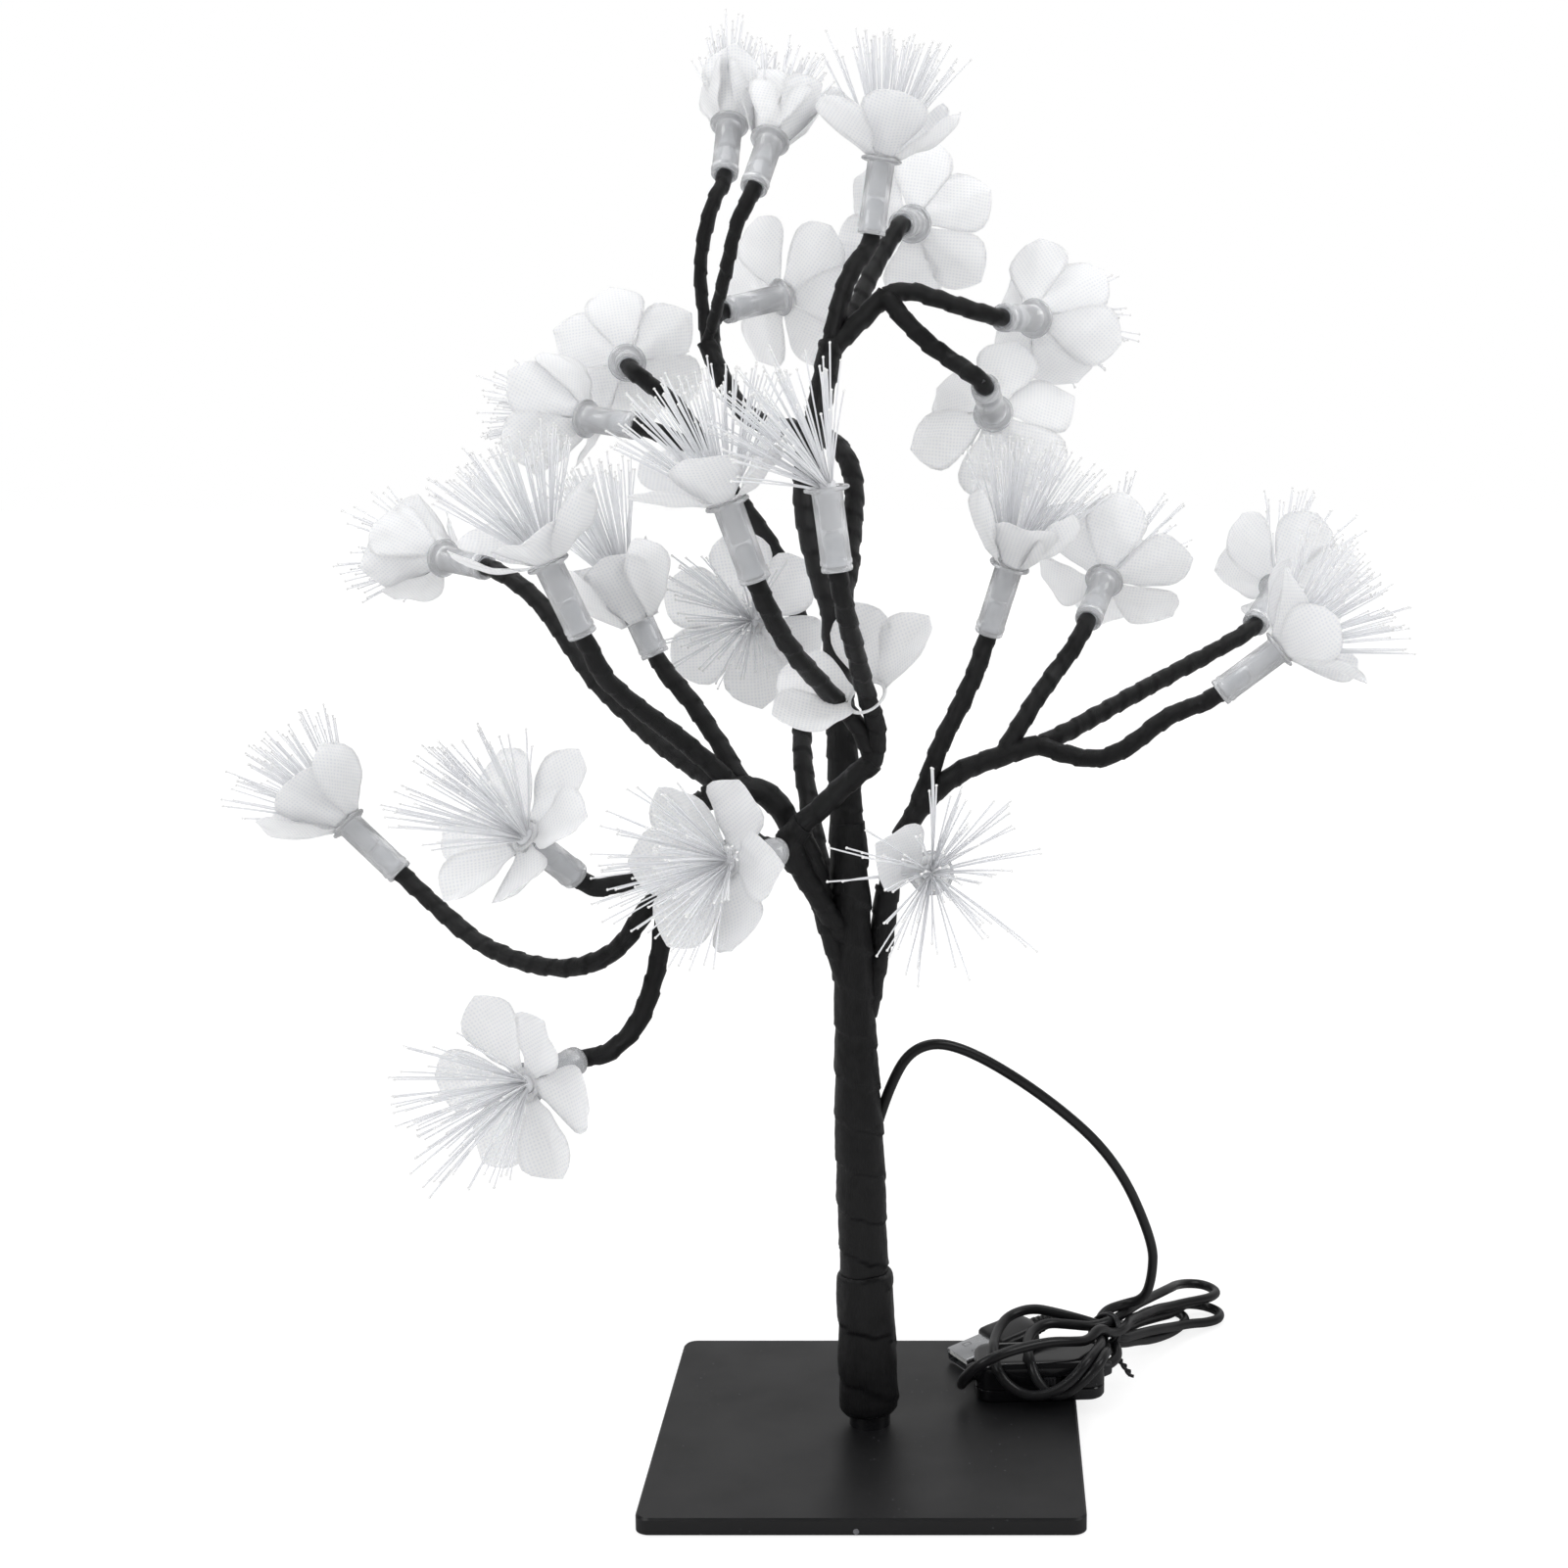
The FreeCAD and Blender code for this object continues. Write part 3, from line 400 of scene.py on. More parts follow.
# ---- Sockets ----------------------------------------------------------------------------------
# Clear polycarbonate tube pushed on to each twig, with moulded collar rings at its foot and a
# flange at its mouth.  A water-clear 5 mm LED sits in it under the end of the fibre bundle.
clear_pc, tree, shader, place = material("moulded_clear_polycarbonate", Roughness=0.06, IOR=1.58,
                                         Transmission_Weight=0.75, Base_Color=linear("#FBFCFE"))
flow = add(tree, "ShaderNodeTexNoise", Vector=place, Scale=55.0, Detail=1.0)
polish(tree, shader, flow, 0.3, 0.7, 0.08, 0.2)

# Epoxy, cast: clear lens with the pale die and reflector cup showing as a cloudy core.
epoxy, tree, shader, place = material("cast_clear_epoxy", Roughness=0.15, IOR=1.55, Transmission_Weight=0.1)
core = add(tree, "ShaderNodeTexNoise", Vector=place, Scale=300.0)
tint(tree, shader, core, "#C4CAD4", "#FFFFFF")

# PMMA fibre, drawn: clear strands of 0.44 mm, milky where they lie together, with a painted glow at the cut
# ends.
pmma, tree, shader, place = material("drawn_pmma_fibre", Roughness=0.1, IOR=1.49, Transmission_Weight=0.25,
                                     Sheen_Weight=0.3, Sheen_Roughness=0.4)
tip = add(tree, "ShaderNodeAttribute", {"attribute_name": "tip"}).outputs["Fac"]
# Painted glow: the last few hundredths of each strand and its end bead are painted whiter, for the light that
# leaves the cut ends.
ends = add(tree, "ShaderNodeMapRange", Value=tip, From_Min=0.93, From_Max=1.0)
tint(tree, shader, ends, "#FAFBFE", "#FFFFFF")

# Sections of the turned pieces, as (radius, height above the socket's foot).
SOCKET_PROFILE = [(0.0029, 0.0), (0.0038, 0.0), (0.0040, 0.0003), (0.0040, 0.0011), (0.0038, 0.0013),
                  (0.0038, 0.0016), (0.0041, 0.0018), (0.0041, 0.0028), (0.0039, 0.0031), (0.0039, 0.0197),
                  (0.0048, 0.0200), (0.0056, 0.0203), (0.0058, 0.0206), (0.0057, 0.0210), (0.0053, 0.0212),
                  (0.0036, 0.0212), (0.0031, 0.0209), (0.0030, 0.0200), (0.0030, 0.0012)]
LED_PROFILE = [(0.0, 0.0010), (0.0028, 0.0010), (0.0028, 0.0019), (0.0025, 0.0021), (0.0025, 0.0076),
               (0.0024, 0.0085), (0.0020, 0.0094), (0.0012, 0.0100), (0.0, 0.0102)]
BUNDLE_PROFILE = [(0.0, 0.0108), (0.0023, 0.0108), (0.0025, 0.0111), (0.0026, 0.0200), (0.0024, 0.0222),
                  (0.0018, 0.0228), (0.0, 0.0228)]


def head_turn(face, roll):
    """Rotation that brings a head's own axis from upright to the way it faces."""
    swing = Vector((0, 0, 1)).rotation_difference(Vector(face).normalized())
    return swing.to_matrix().to_4x4() @ Matrix.Rotation(math.radians(roll), 4, "Z")


def on_heads_tree():
    """A turned piece set on every head: points carry the turn as a stored rotation."""
    made, given = node_tree("set_on_heads", [
        ("Geometry", "Geometry", None), ("Piece", "Object", None), ("Material", "Material", None)])
    piece = add(made, "GeometryNodeObjectInfo", {"transform_space": "ORIGINAL"}, Object=given["Piece"])
    turn = add(made, "GeometryNodeInputNamedAttribute", {"data_type": "QUATERNION"}, Name="turn")
    put = add(made, "GeometryNodeInstanceOnPoints", Points=given["Geometry"],
              Instance=piece.outputs["Geometry"], Rotation=turn)
    real = add(made, "GeometryNodeRealizeInstances", Geometry=put)
    done = add(made, "GeometryNodeSetMaterial", Geometry=real, Material=given["Material"])
    add(made, "NodeGroupOutput", Geometry=done)
    return made


on_heads = on_heads_tree()


def head_points(heads, height=0.0):
    """One point for each head, that far along its axis, with its turn and its fibres' fan."""
    mesh = bpy.data.meshes.new("head_points")
    spots = [Vector(head["twig"][-1]) + Vector(head["face"]).normalized() * height for head in heads]
    mesh.from_pydata(spots, [], [])
    for name, kind in (("turn", "QUATERNION"), ("fan", "FLOAT")):
        mesh.attributes.new(name, kind, "POINT")
    for i, head in enumerate(heads):
        aim = head.get("lean", head["face"]) if height else head["face"]
        mesh.attributes["turn"].data[i].value = head_turn(aim, head.get("roll", 0)).to_quaternion()
        mesh.attributes["fan"].data[i].value = math.radians(head["fan"])
    return bpy.data.objects.new("head_points", mesh)


def set_on_heads(name, profile, made, heads, body, sides):
    """One turned piece on each of a bough's heads, as a single piece."""
    pattern = bpy.data.objects.new(name + "_pattern", lathe(profile, sides))
    mesh = grown(head_points(heads), on_heads, {"Piece": pattern, "Material": made})
    bpy.data.objects.remove(pattern)
    return new_piece(name, mesh, made, body)


# ---- Fibre tufts --------------------------------------------------------------------------------
# 88 plastic optical fibres of 0.44 mm glued in each socket.  They part at its mouth in loose
# clumps, and the hot knife that cut them to length left a bead on each end.
GOLDEN_ANGLE = 2.39996      # spreads the clumps evenly round the axis
HEAD_STRIDE = 97.0          # more than the clumps of a head, so that each has a number of its own
BUNDLE_RADIUS = 0.0019      # at the socket's mouth


def tuft_tree():
    """Fanned clumps of strands on points that carry a head's turn and fan."""
    made, given = node_tree("fibre_tuft", [
        ("Geometry", "Geometry", None), ("Count", "Int", 88), ("Clumps", "Int", 44),
        ("Length", "Float", 0.0345), ("Thickness", "Float", 0.00022), ("Spread", "Float", 0.05),
        ("Bend", "Float", 0.045), ("Seed", "Int", 1), ("Material", "Material", None)])
    copies = add(made, "GeometryNodeDuplicateElements", {"domain": "POINT"}, Geometry=given["Geometry"],
                 Amount=given["Count"])
    number = copies.outputs["Duplicate Index"]
    source = add(made, "GeometryNodeInputIndex").outputs[0]
    clump = calc(made, "MODULO", number, given["Clumps"])
    place = calc(made, "DIVIDE", source, given["Count"])
    which = calc(made, "FLOOR", place)
    clump_id = calc(made, "MULTIPLY_ADD", which, HEAD_STRIDE, clump)
    even = calc(made, "ADD", clump, 0.5)
    share = calc(made, "DIVIDE", even, given["Clumps"])
    radial = calc(made, "POWER", share, 0.6)
    around = calc(made, "MULTIPLY", clump, GOLDEN_ANGLE)

    def chance(low, high, key, seed, kind="FLOAT"):
        """Random value between two limits, one for each key."""
        node = add(made, "FunctionNodeRandomValue", {"data_type": kind})
        first = 0 if kind == "FLOAT_VECTOR" else 2
        node.inputs[first].default_value = low
        node.inputs[first + 1].default_value = high
        made.links.new(key, node.inputs["ID"])
        shifted = add(made, "ShaderNodeMath", {"operation": "ADD"}, _0=given["Seed"], _1=float(seed))
        made.links.new(shifted.outputs[0], node.inputs["Seed"])
        return node.outputs[0 if kind == "FLOAT_VECTOR" else 1]

    off_polar = chance(-0.12, 0.12, clump_id, 11)
    off_round = chance(-0.5, 0.5, clump_id, 23)
    stray_polar = chance(-1.0, 1.0, source, 31)
    stray_round = chance(-1.0, 1.0, source, 47)
    wide = calc(made, "ADD", radial, off_polar)
    loose = calc(made, "MULTIPLY_ADD", stray_polar, given["Spread"], wide)
    fan = add(made, "GeometryNodeInputNamedAttribute", {"data_type": "FLOAT"}, Name="fan")
    polar = calc(made, "MULTIPLY", loose, fan)
    swung = calc(made, "ADD", around, off_round)
    azimuth = calc(made, "MULTIPLY_ADD", stray_round, given["Spread"], swung)
    sine = calc(made, "SINE", polar)
    cosine = calc(made, "COSINE", polar)
    cos_a = calc(made, "COSINE", azimuth)
    sin_a = calc(made, "SINE", azimuth)
    dx = calc(made, "MULTIPLY", sine, cos_a)
    dy = calc(made, "MULTIPLY", sine, sin_a)
    aim = add(made, "ShaderNodeCombineXYZ", X=dx, Y=dy, Z=cosine)
    foot_r = calc(made, "MULTIPLY", loose, BUNDLE_RADIUS)
    fx = calc(made, "MULTIPLY", foot_r, cos_a)
    fy = calc(made, "MULTIPLY", foot_r, sin_a)
    foot = add(made, "ShaderNodeCombineXYZ", X=fx, Y=fy)
    turn = add(made, "GeometryNodeInputNamedAttribute", {"data_type": "QUATERNION"}, Name="turn")
    foot_out = add(made, "FunctionNodeRotateVector", Vector=foot, Rotation=turn)
    aim_out = add(made, "FunctionNodeRotateVector", Vector=aim, Rotation=turn)
    rooted = add(made, "GeometryNodeSetPosition", Geometry=copies, Offset=foot_out)
    facing = add(made, "FunctionNodeAlignRotationToVector", {"axis": "Z"}, Vector=aim_out)
    size = chance(0.86, 1.04, source, 61)
    length = calc(made, "MULTIPLY", size, given["Length"])
    strand = add(made, "GeometryNodeCurvePrimitiveLine", Start=(0, 0, 0), End=(0, 0, 1))
    split = add(made, "GeometryNodeResampleCurve", {"mode": "COUNT"}, Curve=strand, Count=7)
    grown_up = add(made, "GeometryNodeInstanceOnPoints", Points=rooted, Instance=split,
                   Rotation=facing, Scale=length)
    real = add(made, "GeometryNodeRealizeInstances", Geometry=grown_up)
    spot = add(made, "GeometryNodeSplineParameter")
    squared = calc(made, "POWER", spot.outputs["Factor"], 2.0)
    curve_no = add(made, "GeometryNodeCurveOfPoint")
    sway = chance((-1, -1, -1), (1, 1, 0.6), curve_no.outputs[0], 71, "FLOAT_VECTOR")
    sag = add(made, "ShaderNodeVectorMath", {"operation": "ADD"}, _0=sway, _1=(0.0, 0.0, -0.35))
    amount = calc(made, "MULTIPLY", squared, given["Bend"])
    metres = calc(made, "MULTIPLY", amount, given["Length"])
    shift = add(made, "ShaderNodeVectorMath", {"operation": "SCALE"}, _0=sag, Scale=metres)
    bent = add(made, "GeometryNodeSetPosition", Geometry=real, Offset=shift)
    marked = add(made, "GeometryNodeStoreNamedAttribute", {"data_type": "FLOAT", "domain": "POINT"},
                 Geometry=bent, Name="tip", Value=spot.outputs["Factor"])
    section = add(made, "GeometryNodeCurvePrimitiveCircle", Resolution=6, Radius=given["Thickness"])
    tube = add(made, "GeometryNodeCurveToMesh", Curve=marked, Profile_Curve=section)
    tube.inputs["Fill Caps"].default_value = True
    last = add(made, "GeometryNodeCurveEndpointSelection", Start_Size=0, End_Size=1)
    bead = add(made, "GeometryNodeMeshIcoSphere", Radius=0.0004, Subdivisions=1)
    beads = add(made, "GeometryNodeInstanceOnPoints", Points=marked, Selection=last,
                Instance=bead)
    loose_beads = add(made, "GeometryNodeRealizeInstances", Geometry=beads)
    # The beads are marked as ends, so that they take the fibres' painted glow.
    painted_glow_beads = add(made, "GeometryNodeStoreNamedAttribute", {"data_type": "FLOAT", "domain": "POINT"},
                    Geometry=loose_beads, Name="tip", Value=1.0)
    both = add(made, "GeometryNodeJoinGeometry", Geometry=tube)
    made.links.new(painted_glow_beads.outputs[0], both.inputs[0])
    done = add(made, "GeometryNodeSetMaterial", Geometry=both, Material=given["Material"])
    add(made, "NodeGroupOutput", Geometry=done)
    return made


tuft = tuft_tree()


# ---- Flowers --------------------------------------------------------------------------------------
# Each flower is one piece of stiffened white voile, with six pointed petals (two have lost some)
# round a hole that slips over the fibres.  The heat-cut cloth is translucent, and each petal is
# pressed with a crease.
voile, tree, shader, place = material("heat_cut_polyester_voile", Roughness=0.72, Sheen_Weight=0.25,
                                      Sheen_Roughness=0.5, Transmission_Weight=0.5, IOR=1.35)
WEAVE_SCALE = 314.0         # a thread every 1.0 mm, coarser than such cloth, so that the weave shows
cloth = add(tree, "ShaderNodeUVMap", {"uv_map": "cut"}).outputs[0]
warp, weft = [add(tree, "ShaderNodeTexWave", {"wave_type": "BANDS", "bands_direction": way}, Vector=cloth,
                  Scale=WEAVE_SCALE, Distortion=0.4, Detail=1.0) for way in "XY"]
threads = calc(tree, "MAXIMUM", warp.outputs["Fac"], weft.outputs["Fac"])
slubs = add(tree, "ShaderNodeTexNoise", Vector=cloth, Scale=260.0, Detail=3.0)
mixed = calc(tree, "MULTIPLY_ADD", slubs, 0.35, threads)
tint(tree, shader, mixed, "#E8EBF2", "#FFFFFF")
emboss(tree, shader, mixed, strength=0.5, depth=0.00012)

PETAL_REACH = 0.027         # from the flower's axis to a petal's tip
PETAL_HALF = 0.0093         # half of its greatest width
# Half widths at shares of the petal's length.
PETAL_OUTLINE = [(0.0, 0.0024), (0.12, 0.0036), (0.28, 0.0062), (0.45, 0.0083), (0.6, PETAL_HALF),
                 (0.72, 0.0090), (0.83, 0.0073), (0.91, 0.0048), (0.965, 0.0021), (1.0, 0.0002)]


def half_width(share):
    """Half of a petal's width at a share of its length."""
    for (a, one), (b, two) in zip(PETAL_OUTLINE, PETAL_OUTLINE[1:]):
        if share <= b:
            return one + (two - one) * (share - a) / (b - a)
    return 0.0


def petal_blank(hub):
    """Flat petal as a grid of (distance out, distance across) points."""
    rows, columns = 18, 8
    shares = [1 - (1 - i / rows) ** 1.15 for i in range(rows + 1)]
    return [[(hub + share * (PETAL_REACH - hub), (2 * j / columns - 1) * half_width(share))
             for j in range(columns + 1)] for share in shares]


def turned(x, y, angle):
    """Point turned about the origin."""
    return x * math.cos(angle) - y * math.sin(angle), x * math.sin(angle) + y * math.cos(angle)


def flower_mesh(cup, hub, hole, lobes, seed):
    """Hub and petals.  A lobe is (turn, cup, curl, twist, roll-in) added to the flower's own, or None."""
    rise_of_hub = 0.0001
    seam = hub * 0.96           # where a petal starts, just inside the hub's rim
    form = bmesh.new()
    cut = form.loops.layers.uv.new("cut")
    sheet = {}

    def point(spot, flat):
        vert = form.verts.new(spot)
        sheet[vert] = flat
        return vert

    steps = 48

    def ring(radius, height):
        flats = [(radius * math.cos(2 * math.pi * i / steps), radius * math.sin(2 * math.pi * i / steps))
                 for i in range(steps)]
        return [point((*flat, height), flat) for flat in flats]

    inner = ring(hole, 0)
    outer = ring(hub * 1.08, rise_of_hub)
    for i in range(steps):
        j = (i + 1) % steps
        form.faces.new((inner[i], outer[i], outer[j], inner[j]))
    for number, lobe in enumerate(lobes):
        if lobe is None:
            continue
        turn, more_cup, curl, twist, fold = lobe
        rise = math.radians(cup + more_cup)
        bearing = math.radians(60 * number + 30 + turn)
        grid = []
        for row in petal_blank(seam):
            line = []
            for out, across in row:
                far = out - seam
                share = far / (PETAL_REACH - hub)
                wide = abs(across) / PETAL_HALF
                crease = 0.0004 * math.exp(-(wide / 0.16) ** 2) * min(1, share * 4)
                lift = fold * wide ** 1.5 * 0.0022 - crease
                lift += 0.00035 * math.sin(9 * share + 5 * across / PETAL_HALF + seed + number)
                angle = rise + math.radians(curl) * (share ** 2 - 0.35) if share > 0 else rise
                spin = math.radians(twist) * share
                side, up = turned(across, lift, spin)
                x = seam + far * math.cos(angle) - up * math.sin(angle)
                z = far * math.sin(angle) + up * math.cos(angle)
                line.append(point((*turned(x, side, bearing), z + rise_of_hub), turned(out, across, bearing)))
            grid.append(line)
        for one, two in zip(grid, grid[1:]):
            for j in range(len(one) - 1):
                form.faces.new((one[j], two[j], two[j + 1], one[j + 1]))
    for face in form.faces:
        for loop in face.loops:
            loop[cut].uv = sheet[loop.vert]
    return mesh_of(form, "flower")


def natural_lobes(seed, missing=()):
    """Six petals pressed alike and then bent a little out of line by handling."""
    wave = [math.sin(seed * 12.9898 + k * 78.233) for k in range(30)]
    return [None if i in missing else (4 * wave[i], 7 * wave[i + 6], 8 + 14 * wave[i + 12], 9 * wave[i + 18],
                                       0.9 + 0.5 * wave[i + 24]) for i in range(6)]


FLOWER_SEAT = 0.0213        # from a socket's foot to the flower that lies on its flange
TWIG_LEAD = 0.004           # straight end of a twig below its socket


def set_flower(name, head, body, seed):
    """Flower at a head's neck, or further back along the stem where it has slipped down."""
    slid = head.get("slid", 0)
    hub, hole = (0.0054, 0.0047) if slid else (0.0044, 0.0027)
    lobes = natural_lobes(seed, head.get("missing", ()))
    mesh = flower_mesh(head["cup"], hub, hole, lobes, seed)
    face = Vector(head["face"]).normalized()
    end = Vector(head["twig"][-1])
    spot = end + face * FLOWER_SEAT
    aim = Vector(head.get("lean", head["face"])).normalized()
    if slid:
        route = [spot, end - face * TWIG_LEAD] + [Vector(p) for p in head["twig"][-2::-1]]
        left = slid
        for above, below in zip(route, route[1:]):
            if left < (above - below).length:
                break
            left -= (above - below).length
        spot = above - (above - below).normalized() * left
        aim = Vector(head.get("lean", above - below)).normalized()
    mesh.transform(Matrix.Translation(spot) @ head_turn(aim, head.get("roll", 0)))
    flower = new_piece(name, mesh, voile, body)
    thick = flower.modifiers.new("cloth", "SOLIDIFY")
    thick.thickness = 0.00016
    thick.offset = 0
    return flower


def body_prefix(body):
    """Start of a body's piece names: the root's own heads are those of the leader."""
    return "leader" if body == "root" else body


def dress_bough(body, limbs, heads, seed):
    """Tape, sockets, LEDs, fibres and flowers of one bough, each in place of its plain node."""
    prefix = body_prefix(body)
    routes = list(limbs)
    for head in heads:
        face = Vector(head["face"]).normalized()
        end = Vector(head["twig"][-1])
        straight = [tuple(end - face * TWIG_LEAD), tuple(end + face * 0.0004)]
        routes.append((head.get("stem", 0.0028), 0.0027, head["twig"][:-1] + straight))
    tape = wound_piece(prefix + "_winding", routes, body, seed)
    if prefix != "leader":
        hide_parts(prefix + "_tape")
    sockets = set_on_heads(prefix + "_tubes", SOCKET_PROFILE, clear_pc, heads, body, 28)
    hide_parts(prefix + "_sockets")
    lamps = set_on_heads(prefix + "_lamps", LED_PROFILE, epoxy, heads, body, 24)
    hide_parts(prefix + "_leds")
    set_on_heads(prefix + "_bundles", BUNDLE_PROFILE, pmma, heads, body, 20)
    mesh = grown(head_points(heads, 0.0218), tuft, {"Seed": seed * 7 + 1, "Material": pmma})
    strands = new_piece(prefix + "_strands", mesh, pmma, body)
    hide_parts(prefix + "_fibres")
    for number, head in enumerate(heads):
        flower = set_flower("%s_flower_%d" % (prefix, number + 1), head, body, seed + number * 1.7)
        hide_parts(prefix + "_petals")


# ---- Leader ----------------------------------------------------------------------------------
# The trunk carries on upwards as the leader, which forks below the top and bears four flowers.
# Stems of steel wire under tape, the sockets pushed on to their ends.
leader_limbs = [
    (0.0049, 0.0039, [(-0.0048, 0, 0.176), (-0.006, 0.002, 0.195), (-0.007, 0.006, 0.218),
                      (-0.009, 0.01, 0.239)]),
    (0.0039, 0.0036, [(-0.009, 0.01, 0.239), (-0.016, 0.015, 0.259), (-0.017, 0.02, 0.277),
                      (-0.013, 0.026, 0.292), (-0.01, 0.032, 0.311)]),
    (0.0032, 0.003, [(-0.01, 0.032, 0.309), (0, 0.034, 0.319), (0.005, 0.036, 0.324)]),
]
leader_heads = [
    {"twig": [(-0.01, 0.032, 0.311), (-0.007, 0.036, 0.326), (-0.002, 0.04, 0.335), (0.001, 0.043, 0.341)],
     "face": (0.15, 0.02, 1), "fan": 34, "cup": 38, "roll": 10},
    {"twig": [(-0.009, 0.033, 0.311), (-0.003, 0.044, 0.32), (-0.001, 0.052, 0.328), (0.004, 0.06, 0.337),
              (0.009, 0.067, 0.345)],
     "face": (0.12, 0.97, 0.05), "fan": 32, "cup": 20},
    {"twig": [(0.005, 0.036, 0.324), (0.011, 0.037, 0.326), (0.02, 0.038, 0.323), (0.038, 0.042, 0.318)],
     "face": (0.45, 0.88, 0), "fan": 30, "cup": 35, "roll": 20},
    {"twig": [(0.005, 0.035, 0.324), (0.014, 0.032, 0.313), (0.024, 0.03, 0.306), (0.033, 0.027, 0.299)],
     "face": (0.12, 0.92, -0.38), "fan": 23, "cup": 22},
]
dress_bough("root", leader_limbs, leader_heads, 11)
# The stems that hug the trunk and the leader up to each bough's root.
wound_piece("trunk_stems", [
    (0.003, 0.0036, [(-0.005, -0.001, 0.134), (-0.01, -0.002, 0.15), (-0.015, -0.004, 0.171)]),
    (0.003, 0.0032, [(0, 0.001, 0.126), (0.003, 0.002, 0.138), (0.005, 0.003, 0.154)]),
    (0.003, 0.0032, [(-0.007, -0.003, 0.15), (-0.015, -0.009, 0.166), (-0.022, -0.013, 0.178)]),
    (0.003, 0.003, [(-0.005, 0.003, 0.136), (-0.009, 0.006, 0.147), (-0.012, 0.009, 0.16)]),
    (0.003, 0.003, [(-0.008, 0.009, 0.235), (-0.007, 0.014, 0.241), (-0.006, 0.019, 0.246)]),
], "root", 71)


# ---- Left bough ------------------------------------------------------------------------------
# Long bough that arches over to the left and down, with seven flowers on thin twigs.
# Stems of steel wire under tape; it bends at its root beside the trunk.
left_limbs = [
    (0.0034, 0.0038, [(-0.015, -0.004, 0.171), (-0.021, -0.006, 0.184), (-0.027, -0.007, 0.191),
                      (-0.035, -0.008, 0.192), (-0.043, -0.008, 0.189)]),
    (0.0035, 0.0029, [(-0.043, -0.008, 0.189), (-0.05, -0.008, 0.182), (-0.054, -0.008, 0.166)]),
]
left_heads = [
    {"twig": [(-0.036, -0.008, 0.193), (-0.045, -0.012, 0.203), (-0.053, -0.016, 0.21),
              (-0.067, -0.024, 0.223), (-0.072, -0.028, 0.236)],
     "face": (-0.38, -0.15, 0.9), "fan": 36, "cup": 30},
    {"twig": [(-0.038, -0.007, 0.192), (-0.053, 0.006, 0.198), (-0.067, 0.018, 0.208), (-0.079, 0.026, 0.218),
              (-0.095, 0.04, 0.239), (-0.112, 0.05, 0.247)],
     "face": (-0.72, 0.66, 0.06), "fan": 28, "cup": 58},
    {"twig": [(-0.033, -0.006, 0.192), (-0.038, 0, 0.2), (-0.048, 0.006, 0.214), (-0.058, 0.01, 0.226)],
     "face": (-0.4, 0.05, 0.9), "fan": 30, "cup": 62, "slid": 0.011},
    {"twig": [(-0.039, -0.009, 0.19), (-0.034, -0.015, 0.183), (-0.028, -0.022, 0.179),
              (-0.022, -0.027, 0.178)],
     "face": (-0.55, -0.83, 0.05), "fan": 42, "cup": 25},
    {"twig": [(-0.054, -0.008, 0.166), (-0.06, -0.008, 0.158), (-0.067, -0.005, 0.147),
              (-0.076, -0.002, 0.141), (-0.087, 0.004, 0.138), (-0.101, 0.012, 0.139), (-0.114, 0.02, 0.143),
              (-0.136, 0.031, 0.16)],
     "face": (-0.72, 0.1, 0.68), "fan": 40, "cup": 48},
    {"twig": [(-0.054, -0.009, 0.168), (-0.061, -0.014, 0.168), (-0.071, -0.018, 0.166),
              (-0.077, -0.02, 0.17)],
     "face": (-0.5, -0.55, 0.6), "fan": 36, "cup": 12},
    {"twig": [(-0.054, -0.008, 0.166), (-0.055, -0.012, 0.15), (-0.058, -0.015, 0.137),
              (-0.062, -0.017, 0.127), (-0.07, -0.02, 0.12), (-0.078, -0.021, 0.119)],
     "face": (-0.5, -0.86, -0.05), "fan": 40, "cup": 6},
]
dress_bough("left", left_limbs, left_heads, 23)
collar = wound_piece("left_collar", [
    (0.0042, 0.0041, [(-0.0132, -0.0033, 0.1633), (-0.015, -0.004, 0.171), (-0.0183, -0.0051, 0.1782)]),
], None, 26, wrinkle=0.0008)
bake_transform(collar)


# ---- Right bough -----------------------------------------------------------------------------
# Bough that sweeps out to the right with five flowers, the lowest on a hooked twig in front.
# Stems of steel wire under tape; it bends at its root beside the trunk.
right_limbs = [
    (0.0032, 0.0032, [(0.005, 0.003, 0.154), (0.007, 0.005, 0.169), (0.012, 0.008, 0.18),
                      (0.021, 0.012, 0.19), (0.031, 0.016, 0.195), (0.048, 0.022, 0.199)]),
]
right_heads = [
    {"twig": [(0.014, 0.009, 0.183), (0.02, 0.013, 0.2), (0.029, 0.019, 0.216), (0.034, 0.024, 0.2305)],
     "face": (0.28, -0.2, 0.92), "fan": 32, "cup": 50},
    {"twig": [(0.038, 0.018, 0.197), (0.048, 0.029, 0.212), (0.056, 0.037, 0.221), (0.063, 0.044, 0.232)],
     "face": (0.25, 0.8, 0.45), "fan": 34, "cup": 22},
    {"twig": [(0.048, 0.022, 0.199), (0.056, 0.029, 0.201), (0.074, 0.044, 0.209), (0.093, 0.057, 0.217),
              (0.114, 0.068, 0.228)],
     "face": (0.4, 0.8, 0.42), "fan": 36, "cup": 25},
    {"twig": [(0.048, 0.022, 0.199), (0.06, 0.017, 0.195), (0.071, 0.016, 0.197), (0.084, 0.018, 0.208),
              (0.099, 0.02, 0.214)],
     "face": (0.78, -0.05, 0.6), "fan": 42, "cup": 40},
    {"twig": [(0.006, 0.004, 0.168), (0.009, -0.008, 0.174), (0.012, -0.019, 0.175), (0.016, -0.029, 0.173)],
     "face": (0.15, -0.97, 0.2), "fan": 48, "cup": 50, "roll": 12, "missing": (0, 1, 3, 4, 5)},
]
dress_bough("right", right_limbs, right_heads, 37)
collar = wound_piece("right_collar", [
    (0.0037, 0.0037, [(0.004, 0.0025, 0.1461), (0.005, 0.003, 0.154), (0.006, 0.004, 0.1619)]),
], None, 40, wrinkle=0.0008)
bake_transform(collar)


